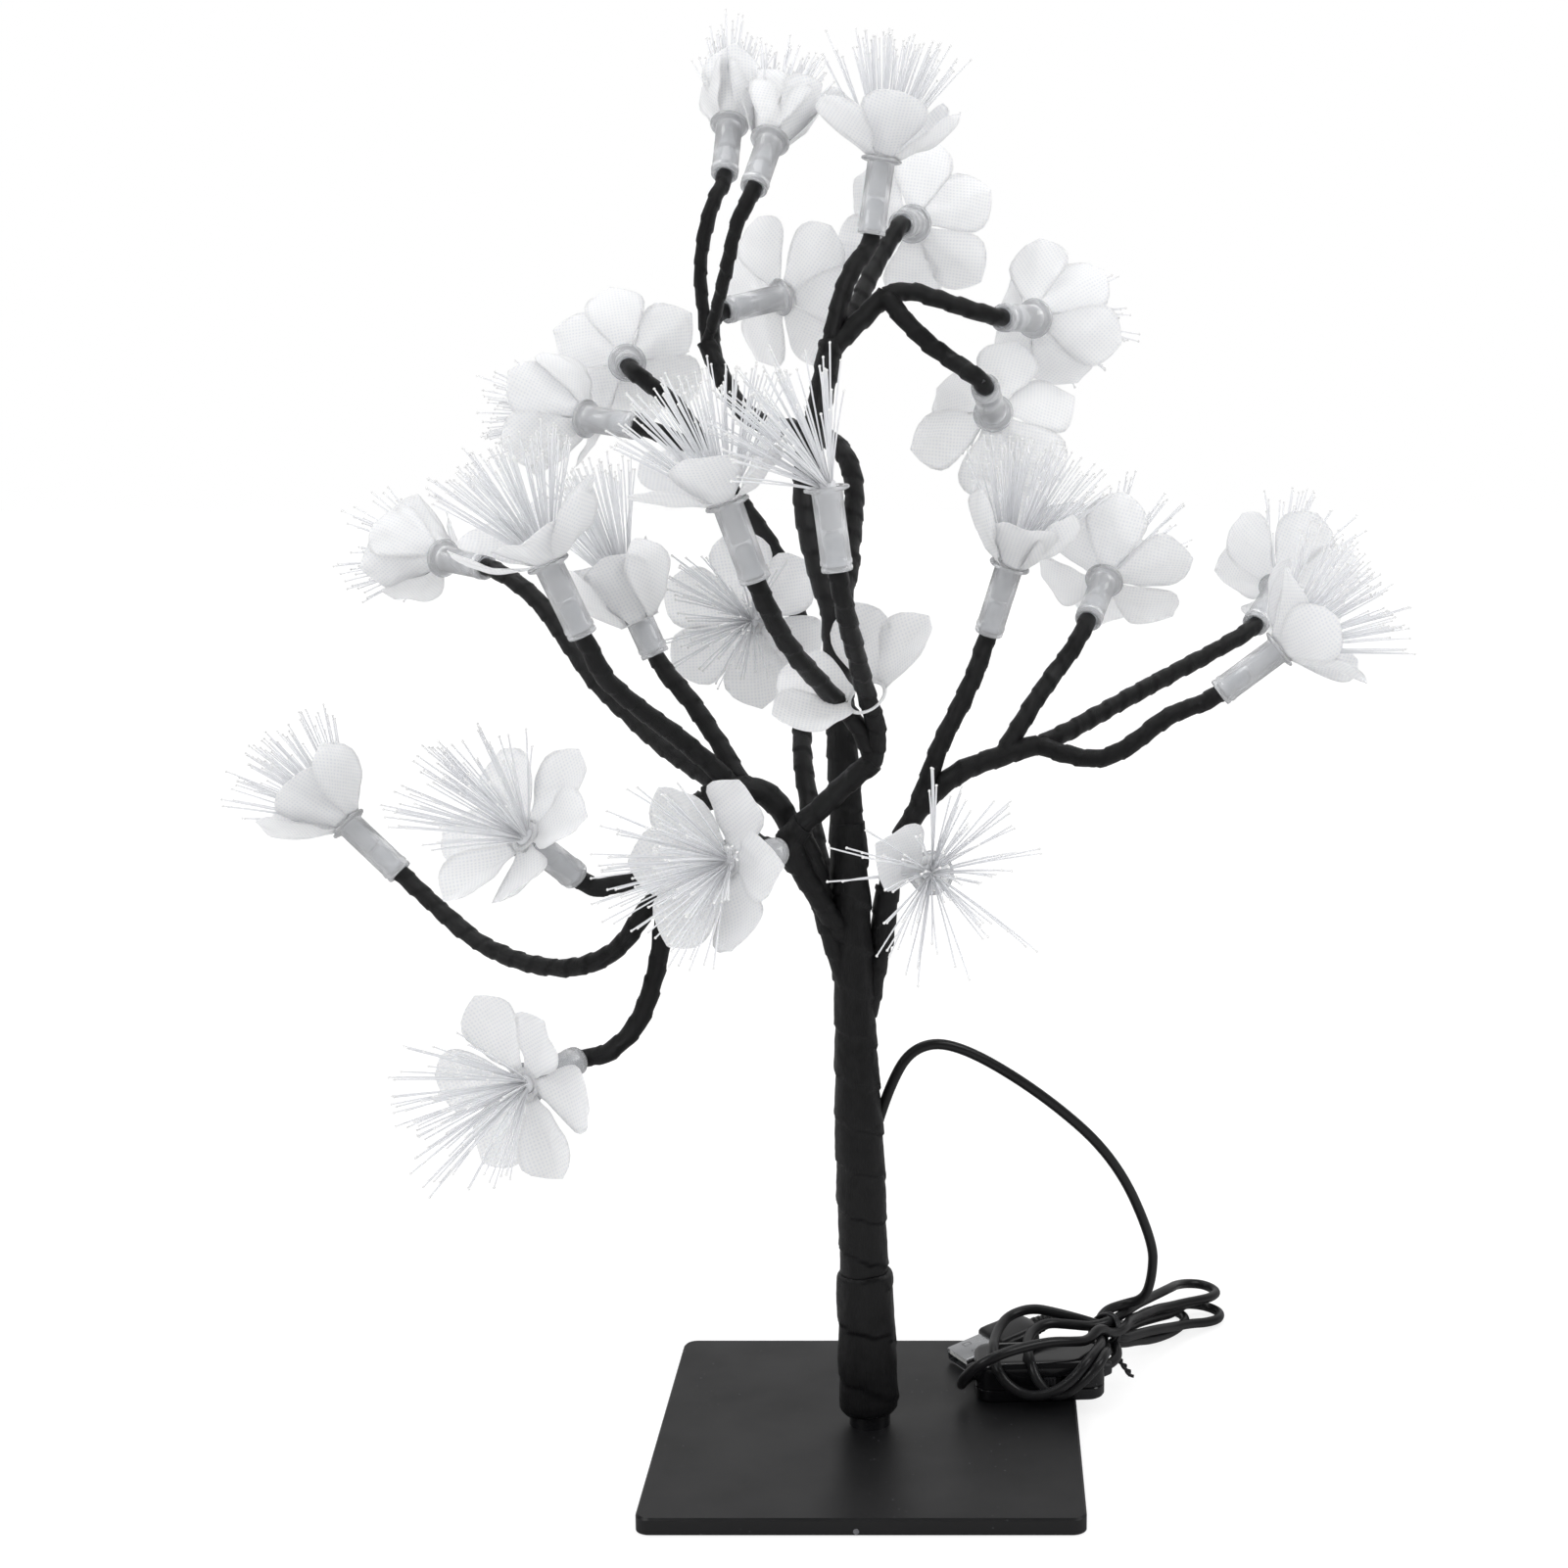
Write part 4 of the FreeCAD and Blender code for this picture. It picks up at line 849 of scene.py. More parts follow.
# ---- Front bough -----------------------------------------------------------------------------
# Short bough that crosses in front of the trunk and bears two flowers, one of which has slipped
# back down to the fork.
front_limbs = [
    (0.0031, 0.0033, [(-0.022, -0.013, 0.178), (-0.013, -0.015, 0.186), (-0.004, -0.017, 0.195),
                      (0.003, -0.018, 0.201)]),
]
front_heads = [
    {"twig": [(0.003, -0.018, 0.201), (0.001, -0.022, 0.21), (-0.008, -0.029, 0.221), (-0.018, -0.038, 0.234),
              (-0.025, -0.047, 0.252)],
     "face": (-0.32, -0.12, 0.94), "fan": 42, "cup": 32},
    {"twig": [(0.003, -0.018, 0.201), (0.005, -0.022, 0.209), (0.002, -0.03, 0.22), (-0.001, -0.044, 0.237),
              (-0.004, -0.054, 0.255)],
     "face": (-0.12, -0.05, 1), "fan": 34, "cup": 25, "lean": (-0.42, -0.55, 0.72), "roll": -10,
     "slid": 0.065, "missing": (4, 5)},
]
dress_bough("front", front_limbs, front_heads, 41)
collar = wound_piece("front_collar", [
    (0.0037, 0.0037, [(-0.0181, -0.0108, 0.1714), (-0.022, -0.013, 0.178), (-0.0161, -0.0143, 0.1832)]),
], None, 44, wrinkle=0.0008)
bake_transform(collar)


# ---- Rear left bough -------------------------------------------------------------------------
# Bough behind the trunk with three flowers, one of them low and facing forwards.
# Stems of steel wire under tape; it bends at its root behind the trunk.
rear_left_limbs = [
    (0.003, 0.0029, [(-0.012, 0.009, 0.16), (-0.015, 0.014, 0.175), (-0.019, 0.024, 0.194),
                     (-0.02, 0.044, 0.207), (-0.02, 0.062, 0.222)]),
    (0.0029, 0.0028, [(-0.02, 0.062, 0.222), (-0.025, 0.072, 0.241), (-0.034, 0.072, 0.257),
                      (-0.045, 0.07, 0.271), (-0.05, 0.069, 0.28)]),
]
rear_left_heads = [
    {"twig": [(-0.02, 0.059, 0.22), (-0.025, 0.073, 0.223), (-0.032, 0.07, 0.227)],
     "face": (-0.15, -0.95, 0.2), "fan": 36, "cup": 12},
    {"twig": [(-0.05, 0.069, 0.28), (-0.056, 0.072, 0.291), (-0.064, 0.075, 0.297), (-0.073, 0.078, 0.304)],
     "face": (-0.15, 0.97, 0.05), "fan": 30, "cup": 28},
    {"twig": [(-0.048, 0.068, 0.277), (-0.056, 0.066, 0.282), (-0.068, 0.06, 0.287)],
     "face": (-0.72, 0.5, 0.08), "fan": 24, "cup": 42},
]
dress_bough("rear_left", rear_left_limbs, rear_left_heads, 53)
collar = wound_piece("rear_left_collar", [
    (0.0035, 0.0035, [(-0.0102, 0.0072, 0.1524), (-0.012, 0.009, 0.16), (-0.0135, 0.0115, 0.1675)]),
], None, 56, wrinkle=0.0008)
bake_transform(collar)


# ---- Rear top bough --------------------------------------------------------------------------
# Bough that leaves the leader backwards and stands up with the two topmost flowers and one that
# looks away.
rear_top_limbs = [
    (0.003, 0.003, [(-0.006, 0.019, 0.246), (-0.004, 0.028, 0.257), (-0.004, 0.043, 0.277),
                    (-0.014, 0.054, 0.286), (-0.036, 0.067, 0.287), (-0.046, 0.072, 0.303),
                    (-0.049, 0.074, 0.311)]),
]
rear_top_heads = [
    {"twig": [(-0.049, 0.074, 0.311), (-0.051, 0.076, 0.325), (-0.0505, 0.077, 0.34),
              (-0.0465, 0.0775, 0.353), (-0.044, 0.084, 0.36)],
     "face": (0.02, 0.66, 0.75), "fan": 20, "cup": 75, "stem": 0.0019},
    {"twig": [(-0.049, 0.074, 0.311), (-0.0425, 0.062, 0.328), (-0.038, 0.054, 0.345),
              (-0.033, 0.056, 0.3545)],
     "face": (0.18, 0.7, 0.69), "fan": 20, "cup": 75, "stem": 0.0019},
    {"twig": [(-0.047, 0.073, 0.306), (-0.0484, 0.076, 0.3125), (-0.0445, 0.083, 0.3205)],
     "face": (0.75, 0.62, 0.2), "fan": 14, "cup": 14, "lean": (0.45, 0.87, 0.2), "roll": 10},
]
dress_bough("rear_top", rear_top_limbs, rear_top_heads, 67)
collar = wound_piece("rear_top_collar", [
    (0.0035, 0.0035, [(-0.007, 0.014, 0.241), (-0.006, 0.019, 0.246), (-0.0049, 0.024, 0.2521)]),
], None, 70, wrinkle=0.0008)
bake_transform(collar)


# ---- Cords ------------------------------------------------------------------------------------
# Thin two-core USB lead, extruded in black PVC, 3 mm thick and limp.  It leaves the trunk through
# its tape, arches over and is folded up in a hank under a tie; the switch is let into its length.
cord_pvc, tree, shader, place = material("extruded_black_pvc", Roughness=0.34, IOR=1.53)
grime = add(tree, "ShaderNodeTexNoise", Vector=place, Scale=70.0, Detail=4.0)
tint(tree, shader, grime, "#0A0A0B", "#19191B")
skin = add(tree, "ShaderNodeTexNoise", Vector=place, Scale=900.0, Detail=2.0)
emboss(tree, shader, skin, strength=0.12, depth=0.0001)

CORD_THICKNESS = 0.003


def round_wire(name, points, radius, along, around):
    """Round wire on one smooth spline; along and around set how fine its faces are."""
    data = new_curve(name)
    new_spline(data, "NURBS", points).resolution_u = along
    data.bevel_depth = radius
    data.bevel_resolution = around
    data.use_fill_caps = True
    return data


def lead(name, points):
    """Length of the USB lead; it stays a curve."""
    data = round_wire(name, points, CORD_THICKNESS / 2, 10, 6)
    data.materials.append(cord_pvc)
    piece = bpy.data.objects.new(name, data)
    bpy.context.scene.collection.objects.link(piece)
    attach(piece, "root")
    return piece


# From the trunk over the arch and down to the tie.
arch = [
    (0.0023, 0.002, 0.0923), (0.0056, 0.0033, 0.1035), (0.0125, 0.006, 0.1153), (0.025, 0.0098, 0.1153),
    (0.05, 0.0198, 0.097), (0.072, 0.0335, 0.073), (0.0845, 0.0465, 0.042), (0.0845, 0.0505, 0.0295)]
# Three long loops to the left and two folded ends to the right, and on to the switch's left end.
# The points are those of a relaxed route, rounded to half a millimetre, and not chosen one by one.
hank = [
    # Down behind the tie and through it.
    (0.0825, 0.0535, 0.021), (0.076, 0.0555, 0.0185), (0.0695, 0.05, 0.0185), (0.0665, 0.042, 0.0145),
    # First loop: low along the front of the switch, back over its top.
    (0.067, 0.0345, 0.0165), (0.068, 0.027, 0.018), (0.066, 0.0195, 0.0185), (0.063, 0.0125, 0.018),
    (0.058, 0.0095, 0.013), (0.051, 0.008, 0.0095), (0.0435, 0.0085, 0.0095), (0.037, 0.0095, 0.015),
    (0.0355, 0.017, 0.0195), (0.036, 0.0255, 0.0195), (0.0375, 0.0335, 0.02), (0.0405, 0.0405, 0.021),
    (0.0475, 0.044, 0.022), (0.055, 0.0425, 0.021), (0.0625, 0.041, 0.0195), (0.0695, 0.0415, 0.017),
    # Lower fold on the right, lying on the table.
    (0.075, 0.044, 0.012), (0.079, 0.0505, 0.0105), (0.083, 0.0565, 0.009), (0.0875, 0.0625, 0.0075),
    (0.0925, 0.069, 0.0055), (0.0985, 0.0755, 0.004), (0.1045, 0.08, 0.0025), (0.109, 0.0845, 0.002),
    (0.1095, 0.0905, 0.002), (0.1045, 0.0945, 0.0025), (0.0985, 0.092, 0.004), (0.0965, 0.0865, 0.005),
    (0.093, 0.08, 0.0055), (0.089, 0.074, 0.007), (0.0845, 0.0675, 0.0085), (0.081, 0.0615, 0.01),
    (0.0775, 0.0545, 0.011), (0.0745, 0.048, 0.013),
    # Second loop, a little smaller and inside the first.
    (0.0725, 0.0425, 0.019), (0.0665, 0.0375, 0.0185), (0.059, 0.037, 0.0195), (0.0515, 0.036, 0.0205),
    (0.047, 0.03, 0.02), (0.0455, 0.0225, 0.0195), (0.046, 0.0145, 0.0185), (0.0485, 0.0095, 0.0125),
    (0.054, 0.0105, 0.0075), (0.061, 0.011, 0.0115), (0.0665, 0.013, 0.017), (0.069, 0.02, 0.018),
    (0.0695, 0.027, 0.015), (0.0695, 0.0345, 0.014), (0.069, 0.0425, 0.013),
    # Upper fold on the right, which springs open beyond the first.
    (0.072, 0.049, 0.0155), (0.077, 0.0545, 0.0165), (0.0805, 0.0615, 0.016), (0.0835, 0.0685, 0.0145),
    (0.087, 0.075, 0.0135), (0.091, 0.082, 0.0125), (0.094, 0.089, 0.011), (0.0955, 0.0955, 0.009),
    (0.0995, 0.101, 0.0075), (0.1055, 0.1025, 0.0065), (0.1095, 0.0975, 0.006), (0.107, 0.0915, 0.0065),
    (0.1025, 0.0865, 0.0075), (0.097, 0.0815, 0.0085), (0.092, 0.076, 0.0095), (0.0875, 0.0705, 0.011),
    (0.084, 0.064, 0.012), (0.08, 0.0575, 0.0135), (0.0775, 0.0505, 0.015),
    # Third and largest loop, over the switch and round into its left end.
    (0.076, 0.043, 0.016), (0.0715, 0.0365, 0.0165), (0.0675, 0.0315, 0.021), (0.064, 0.0245, 0.0195),
    (0.059, 0.019, 0.0215), (0.0525, 0.0155, 0.023), (0.0455, 0.012, 0.023), (0.039, 0.0075, 0.023),
    (0.0325, 0.005, 0.021), (0.0275, 0.0075, 0.016), (0.026, 0.0125, 0.0105), (0.027, 0.0185, 0.0095),
    (0.0306, 0.0211, 0.0114)]
post_lead = lead("post_lead", arch + hank)
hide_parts("usb_cord", "cord_hank")
# Out of the switch's right end, once round through the tie and on to the plug.
plug_lead = lead("plug_lead", [
    (0.068, 0.0238, 0.0114), (0.073, 0.0295, 0.011), (0.073, 0.037, 0.013), (0.0715, 0.044, 0.011),
    (0.076, 0.049, 0.0085), (0.08, 0.0545, 0.007), (0.0845, 0.06, 0.005), (0.0885, 0.066, 0.0035),
    (0.0925, 0.072, 0.0025), (0.096, 0.0785, 0.002), (0.0985, 0.0855, 0.0015), (0.0955, 0.0925, 0.0015),
    (0.088, 0.0935, 0.0015), (0.083, 0.087, 0.002), (0.0805, 0.0795, 0.003), (0.078, 0.072, 0.005),
    (0.0755, 0.0655, 0.0075), (0.0735, 0.059, 0.0105), (0.071, 0.052, 0.013), (0.0655, 0.0485, 0.0145),
    (0.0595, 0.052, 0.0155), (0.0534, 0.0549, 0.0137)])


# ---- Switch ---------------------------------------------------------------------------------------
# In-line slide switch: a tray and a cover, injection moulded in glossy black ABS and snapped
# together, with a slot in the long side where the ribbed knob of the slider shows.
gloss_abs, tree, shader, place = material("glossy_moulded_abs", Roughness=0.14, IOR=1.53)
rubbed = add(tree, "ShaderNodeTexNoise", Vector=place, Scale=90.0, Detail=5.0, Roughness=0.65)
tint(tree, shader, rubbed, "#070708", "#121214")
polish(tree, shader, rubbed, 0.35, 0.75, 0.09, 0.24)
sink = add(tree, "ShaderNodeTexNoise", Vector=place, Scale=120.0, Detail=1.0)
emboss(tree, shader, sink, strength=0.12, depth=0.0006)

# Glass cloth and epoxy, laminated: the board, green-brown with the weave under the resin.
laminate, tree, shader, place = material("laminated_glass_epoxy", Roughness=0.35, IOR=1.55)
weave = add(tree, "ShaderNodeTexWave", Vector=place, Scale=400.0, Distortion=1.0)
tint(tree, shader, weave.outputs["Fac"], "#2E3B1E", "#46552B")
dress("switch_board", laminate)

switch_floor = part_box("switch_tray")[0].z
SWITCH_PLACE = Matrix.Translation((0.0492, 0.0225, switch_floor)) @ Matrix.Rotation(math.radians(4), 4, "Z")
SWITCH_HALF = (0.019, 0.009)
SWITCH_CORNER = 0.005
SLOT_SPAN = ((0.0, 0.008), (0.0053, 0.0079))        # along the box, and upwards
WALL = 0.0014                                       # thickness of the slot's edge


def box_outline(inset):
    """Rounded outline from above, anticlockwise from the slot's ends in its front."""
    half_x, half_y = SWITCH_HALF[0] - inset, SWITCH_HALF[1] - inset
    corner = max(SWITCH_CORNER - inset, 0.0006)
    points = [(x, -half_y) for x in SLOT_SPAN[0]]
    corners = ((half_x, -half_y, -90), (half_x, half_y, 0), (-half_x, half_y, 90), (-half_x, -half_y, 180))
    for x, y, start in corners:
        middle = (x - math.copysign(corner, x), y - math.copysign(corner, y))
        points += [(middle[0] + corner * math.cos(math.radians(start + 10 * step)),
                    middle[1] + corner * math.sin(math.radians(start + 10 * step))) for step in range(10)]
    return points


def box_half(name, levels, slot):
    """Walls from (height, inset) levels, closed at both ends; slot leaves an opening in the front."""
    form = bmesh.new()
    rings = [[form.verts.new((x, y, z)) for x, y in box_outline(inset)] for z, inset in levels]
    count = len(rings[0])
    for (low, _), one, two in zip(levels, rings, rings[1:]):
        for i in range(count):
            j = (i + 1) % count
            if slot and i == 0 and abs(low - SLOT_SPAN[1][0]) < 1e-6:
                rim = (one[0], one[1], two[1], two[0])
                wall(form, rim, [form.verts.new(v.co + Vector((0, WALL, 0))) for v in rim])
            else:
                form.faces.new((one[i], one[j], two[j], two[i]))
    form.faces.new(rings[-1])
    form.faces.new(list(reversed(rings[0])))
    mesh = mesh_of(form, name)
    mesh.transform(SWITCH_PLACE)
    return new_piece(name, mesh, gloss_abs, "root")


tray = box_half("switch_bottom", [(0.0, 0.0009), (0.0003, 0.0004), (0.0009, 0.0), (0.0036, 0.0),
                                  (0.0039, 0.0003)], False)
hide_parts("switch_tray")
cover = box_half("switch_lid", [(0.0040, 0.0003), (0.0042, 0.0), (0.0053, 0.0), (0.0079, 0.0), (0.0102, 0.0),
                                (0.0110, 0.00025), (0.0116, 0.0008), (0.01192, 0.0016), (0.01198, 0.0032),
                                (0.0120, 0.0060)], True)
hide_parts("switch_cover")
for half in (tray, cover):
    half.modifiers.new("creases", "EDGE_SPLIT").split_angle = math.radians(40)

# ABS, moulded: the slider, greyer and duller than the box, polished by thumbs on its ridges.
dull_abs, tree, shader, place = material("dull_moulded_abs", Roughness=0.45, IOR=1.53)
rub = add(tree, "ShaderNodeTexNoise", Vector=place, Scale=500.0)
tint(tree, shader, rub, "#1A1A1C", "#2C2C2F")
knob_x, knob_half = 0.0023, 0.0018
knob_bottom, knob_top = 0.0056, 0.0076
profile = [(knob_x - knob_half, -0.0074), (knob_x - knob_half, -0.0096)]
for rib in range(4):
    left = knob_x - knob_half + 0.0001 + rib * 0.0009
    profile += [(left, -0.0099), (left + 0.0003, -0.0101), (left + 0.0006, -0.0099),
                (left + 0.00075, -0.0096)]
profile += [(knob_x + knob_half, -0.0096), (knob_x + knob_half, -0.0074)]
form = bmesh.new()
lower = [form.verts.new((x, y, knob_bottom)) for x, y in profile]
upper = [form.verts.new((x, y, knob_top)) for x, y in profile]
wall(form, lower, upper)
form.faces.new(upper)
form.faces.new(list(reversed(lower)))
# The carriage that slides behind the wall.
low_x, high_x = knob_x - 0.0035, knob_x + 0.0035
front, back = -0.0073, -0.0058
plan = ((low_x, front), (high_x, front), (high_x, back), (low_x, back))
under, over = [[form.verts.new((x, y, z)) for x, y in plan] for z in (0.0048, 0.0084)]
wall(form, under, over)
form.faces.new(over)
form.faces.new(list(reversed(under)))
bmesh.ops.recalc_face_normals(form, faces=form.faces)
mesh = mesh_of(form, "slider")
mesh.transform(SWITCH_PLACE)
slider = new_piece("switch_knob", mesh, dull_abs, "switch_slider", smooth=False)
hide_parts("switch_slider")

# Grommets that grip the lead where it enters each end of the box.
GROMMET = [(0.00152, -0.0004), (0.0027, -0.0004), (0.0027, 0.0004), (0.0024, 0.0012), (0.0020, 0.0022),
           (0.0017, 0.0026), (0.00152, 0.0026)]
for name, end in (("left_grommet", -1), ("right_grommet", 1)):
    ring = lathe(GROMMET, 28)
    mouth = Matrix.Translation((end * SWITCH_HALF[0], 0, 0.0064))
    ring.transform(SWITCH_PLACE @ mouth @ Matrix.Rotation(end * math.pi / 2, 4, "Y"))
    new_piece(name, ring, dull_abs, "root")


# ---- Plug -------------------------------------------------------------------------------------------
# USB plug: a folded and nickel-plated steel shell with its two spring windows on each broad side,
# over a tongue, held in a soft black overmould that runs back into a ribbed strain relief.
nickel, tree, shader, place = material("nickel_plated_steel", Metallic=1.0, Roughness=0.24)
handled = add(tree, "ShaderNodeTexNoise", Vector=place, Scale=220.0, Detail=5.0)
tint(tree, shader, handled, "#B9BBBE", "#E6E7E9")
polish(tree, shader, handled, 0.0, 1.0, 0.16, 0.34)

# PVC, overmoulded: smooth and slightly shiny, a faint bloom of dust on it.
soft_pvc, tree, shader, place = material("overmoulded_black_pvc", Roughness=0.3, IOR=1.53)
bloom = add(tree, "ShaderNodeTexNoise", Vector=place, Scale=150.0, Detail=5.0)
tint(tree, shader, bloom, "#0A0A0B", "#1B1B1D")
emboss(tree, shader, bloom, strength=0.15, depth=0.0002)

# PBT, moulded: the tongue, off-white and satin.
pbt, tree, shader, place = material("moulded_white_pbt", Roughness=0.4, IOR=1.55)
fill = add(tree, "ShaderNodeTexNoise", Vector=place, Scale=600.0)
tint(tree, shader, fill, "#D5D6D4", "#E9EAE8")
dress("plug_tongue", pbt)

plug_aim = Vector((-0.84, -0.50, -0.18)).normalized()
plug_side = Vector((0, 0, 1)).cross(plug_aim).normalized()
plug_top = plug_aim.cross(plug_side)
plug_rear = Vector((0.025, 0.038, 0.0076)) - plug_aim * 0.027
PLUG_PLACE = Matrix.Translation(plug_rear) @ Matrix((plug_aim, plug_side, plug_top)).transposed().to_4x4()


def plug_outline(width, height, corner):
    """Rounded oblong across the plug, anticlockwise seen from its tip."""
    steps = 5
    points = []
    for y, z, start in ((1, -1, -90), (1, 1, 0), (-1, 1, 90), (-1, -1, 180)):
        for step in range(steps + 1):
            angle = math.radians(start + 90 * step / steps)
            points.append((y * (width / 2 - corner) + corner * math.cos(angle),
                           z * (height / 2 - corner) + corner * math.sin(angle)))
    return points


def plug_skin(name, stations, closed_ends, made):
    """Skin through (distance, width, height, corner) stations along the plug."""
    form = bmesh.new()
    rings = [[form.verts.new((x, y, z)) for y, z in plug_outline(width, height, corner)]
             for x, width, height, corner in stations]
    for one, two in zip(rings, rings[1:]):
        wall(form, one, two)
    if closed_ends:
        form.faces.new(rings[-1])
        form.faces.new(list(reversed(rings[0])))
    else:
        wall(form, rings[-1], rings[0])
    bmesh.ops.recalc_face_normals(form, faces=form.faces)
    mesh = mesh_of(form, name)
    mesh.transform(PLUG_PLACE)
    piece = new_piece(name, mesh, made, "root")
    piece.modifiers.new("creases", "EDGE_SPLIT").split_angle = math.radians(50)
    return piece


shell = plug_skin("plug_steel_shell", [
    (0.0110, 0.0120, 0.0045, 0.0008), (0.0266, 0.0120, 0.0045, 0.0008), (0.0270, 0.0117, 0.0042, 0.0007),
    (0.0269, 0.0114, 0.0039, 0.0005), (0.0110, 0.0114, 0.0039, 0.0005)], False, nickel)
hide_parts("plug_shell")
# The bent-in spring windows show as dark oblongs with a rim: black sheets of painted shade, not openings.
WINDOW_ALONG = 0.0216
for number, (across, face) in enumerate([(y, z) for y in (-0.0028, 0.0028) for z in (-1, 1)]):
    window_shade = bmesh.new()
    outer, inner = [
        [window_shade.verts.new((WINDOW_ALONG + x, across + y, face * height))
         for x, y in ((-half_x, -half_y), (half_x, -half_y), (half_x, half_y), (-half_x, half_y))]
        for half_x, half_y, height in ((0.0012, 0.001, 0.00228), (0.001, 0.0008, 0.00224))]
    wall(window_shade, outer, inner)
    window_shade.faces.new(inner)
    bmesh.ops.recalc_face_normals(window_shade, faces=window_shade.faces)
    mesh = mesh_of(window_shade, "spring_window_shade")
    mesh.transform(PLUG_PLACE)
    new_piece("spring_window_%d" % (number + 1), mesh, soft_pvc, "root", smooth=False)
grip = plug_skin("plug_grip", [
    (0.0, 0.0062, 0.0056, 0.0022), (0.0006, 0.0098, 0.0064, 0.0026), (0.0016, 0.0128, 0.0071, 0.0028),
    (0.0030, 0.0146, 0.0075, 0.0028), (0.0050, 0.0154, 0.0076, 0.0027), (0.0085, 0.0153, 0.0074, 0.0026),
    (0.0118, 0.0155, 0.0076, 0.0026), (0.0140, 0.0154, 0.0075, 0.0025), (0.0147, 0.0149, 0.0070, 0.0023),
    (0.0150, 0.0139, 0.0060, 0.0018)], True, soft_pvc)
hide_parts("plug_body")
relief_profile = [(0.00152, -0.0070), (0.0019, -0.0070), (0.0021, -0.0067)]
for rib in range(4):
    start, girth = -0.0066 + rib * 0.0016, 0.0022 + rib * 0.0002
    relief_profile += [(girth, start), (girth, start + 0.0008), (girth - 0.0005, start + 0.0010),
                       (girth - 0.0005, start + 0.0014)]
relief_profile += [(0.0029, -0.0001), (0.0029, 0.0006), (0.00152, 0.0006)]
relief = lathe(relief_profile, 32)
relief.transform(PLUG_PLACE @ Matrix.Rotation(math.pi / 2, 4, "Y"))
new_piece("plug_relief", relief, soft_pvc, "root")


# ---- Tie ----------------------------------------------------------------------------------------------
# Twist tie: thin soft-iron wire in a black PVC skin, wound three times round the seven strands of
# the hank, its two ends twisted together and bent down.
tie_pvc, tree, shader, place = material("coated_tie_wire", Roughness=0.36, IOR=1.53)
scuffs = add(tree, "ShaderNodeTexNoise", Vector=place, Scale=800.0, Detail=3.0)
tint(tree, shader, scuffs, "#0B0B0C", "#2A2A2D")

tie_spot = Vector((0.070, 0.0425, 0.0151))
tie_axis = Vector((5.6, 6, -3.4)).normalized()
tie_right = tie_axis.cross(Vector((0, 0, 1))).normalized()
tie_up = tie_right.cross(tie_axis)
TIE_WIRE = 0.0005
TIE_TURNS = 3
TIE_REACH = 0.0053          # from the bundle's middle to the wire's


def tie_strand(name, points):
    """Mesh of a length of the tie's wire."""
    holder = bpy.data.objects.new(name, round_wire(name, points, TIE_WIRE, 4, 3))
    mesh = bpy.data.meshes.new_from_object(holder)
    bpy.data.objects.remove(holder)
    return mesh


turns = []
for step in range(TIE_TURNS * 12 + 4):
    angle = math.radians(-150 + 30 * step)
    reach = TIE_REACH + 0.0004 * math.sin(2.3 * angle)
    along = -0.0014 + 0.0009 * angle / math.pi * 0.55
    turns.append(tie_spot + tie_axis * along + tie_right * reach * math.cos(angle)
                 + tie_up * reach * math.sin(angle))
tail = [Vector((0.0715, 0.0378, 0.0105)), Vector((0.0745, 0.0362, 0.0078)), Vector((0.0775, 0.0345, 0.0040))]
wraps = tie_strand("tie_wraps", turns)
tie = new_piece("tie_wraps", wraps, tie_pvc, "root")
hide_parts("twist_tie")
for name, side in (("tie_end_1", 0.0), ("tie_end_2", math.pi)):
    twisted = []
    for step in range(13):
        share = step / 12
        if share < 0.5:
            spot = tail[0].lerp(tail[1], share * 2)
        else:
            spot = tail[1].lerp(tail[2], share * 2 - 1)
        angle = side + share * 5 * math.pi
        aside = Vector((math.cos(angle), math.sin(angle) * 0.7, math.sin(angle) * 0.7))
        twisted.append(spot + aside * 0.0006)
    start = turns[-1] if side else turns[0]
    strand = tie_strand(name, [start, start.lerp(twisted[0], 0.6)] + twisted)
    new_piece(name, strand, tie_pvc, "root")


# ---- Room -----------------------------------------------------------------------------------------
# White sweep of paper under even daylight, three large soft lamps, and a camera level with the
# upper boughs.  To glossy rays the paper doesn't glow and the room is dim, so that black pieces
# stay black; to all other rays the paper glows, which also lights the pieces from below.
paper, tree, shader, place = material("rolled_background_paper", Roughness=0.9)
pulp = add(tree, "ShaderNodeTexNoise", Vector=place, Scale=30.0)
tint(tree, shader, pulp, "#8A8A8A", "#929292")
rays = add(tree, "ShaderNodeLightPath").outputs
lit_back = calc(tree, "SUBTRACT", 1.0, rays["Is Glossy Ray"])
shader.inputs["Emission Color"].default_value = linear("#E6E6E6")
tree.links.new(lit_back, shader.inputs["Emission Strength"])
floor_mesh = bpy.data.meshes.new("paper_floor")
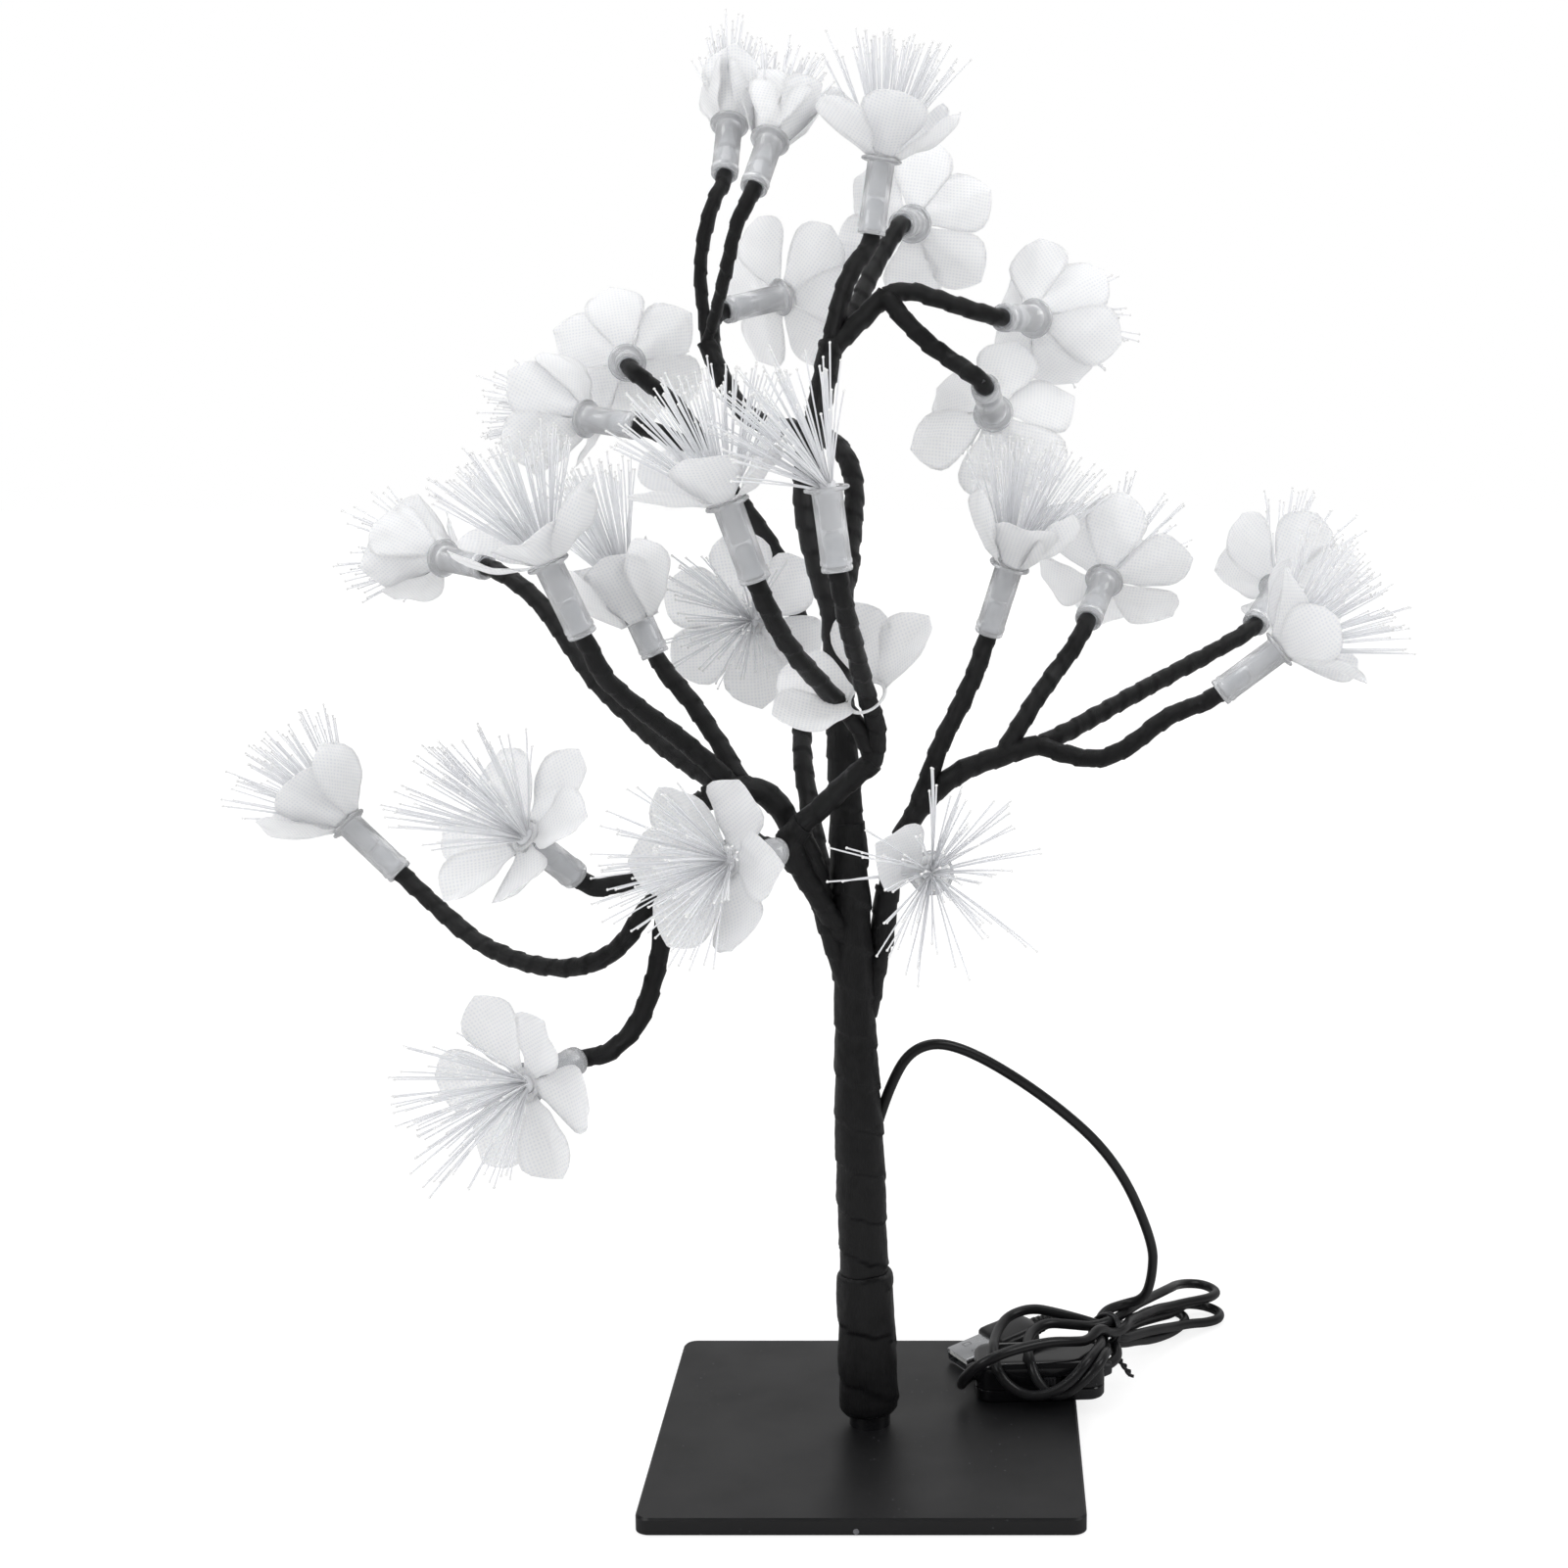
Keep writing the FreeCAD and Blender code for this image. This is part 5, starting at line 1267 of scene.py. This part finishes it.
floor_mesh.from_pydata([(-3, -2, 0), (3, -2, 0), (3, 4, 0), (-3, 4, 0)], [], [(0, 1, 2, 3)])
floor_mesh.materials.append(paper)
floor = bpy.data.objects.new("paper_floor", floor_mesh)
bpy.context.scene.collection.objects.link(floor)

world = bpy.data.worlds.new("white_room")
bpy.context.scene.world = world
world.use_nodes = True
tree = world.node_tree
rays = add(tree, "ShaderNodeLightPath").outputs
through = calc(tree, "MAXIMUM", rays["Is Camera Ray"], rays["Is Transmission Ray"])
heading = add(tree, "ShaderNodeSeparateXYZ", Vector=add(tree, "ShaderNodeTexCoord").outputs["Generated"])
sweep = add(tree, "ShaderNodeMapRange", Value=heading.outputs["Y"], From_Min=0.2, From_Max=0.9, To_Min=0.05,
            To_Max=0.5)
soft = add(tree, "ShaderNodeMix", {"data_type": "FLOAT"}, _0=rays["Is Glossy Ray"], _2=0.97, _3=sweep)
strength = calc(tree, "MAXIMUM", soft, through)
tree.nodes["Background"].inputs["Color"].default_value = (1, 1, 1, 1)
tree.links.new(strength, tree.nodes["Background"].inputs["Strength"])

for name, spot, wide, power in (("left_soft_lamp", (-1.0, -0.8, 1.3), 0.7, 6.0),
                                ("right_soft_lamp", (1.1, -0.3, 1.1), 0.6, 3.4),
                                ("top_soft_lamp", (0.0, 0.5, 1.6), 0.9, 3.6)):
    lamp = bpy.data.lights.new(name, "AREA")
    lamp.shape = "SQUARE"
    lamp.size = wide
    lamp.energy = power
    stand = bpy.data.objects.new(name, lamp)
    stand.location = spot
    stand.rotation_euler = (Vector((0, 0, 0.2)) - Vector(spot)).to_track_quat("-Z", "Y").to_euler()
    bpy.context.scene.collection.objects.link(stand)

view = bpy.data.cameras.new("level_camera")
view.lens = 57.06
view.sensor_width = 36
view.shift_x = -0.1218
view.clip_start = 0.01
camera = bpy.data.objects.new("level_camera", view)
camera.location = (0.03024, -0.67269, 0.31075)
camera.rotation_euler = (math.radians(79.955), 0, 0)
bpy.context.scene.collection.objects.link(camera)
bpy.context.scene.camera = camera
bpy.context.scene.view_settings.view_transform = "Standard"
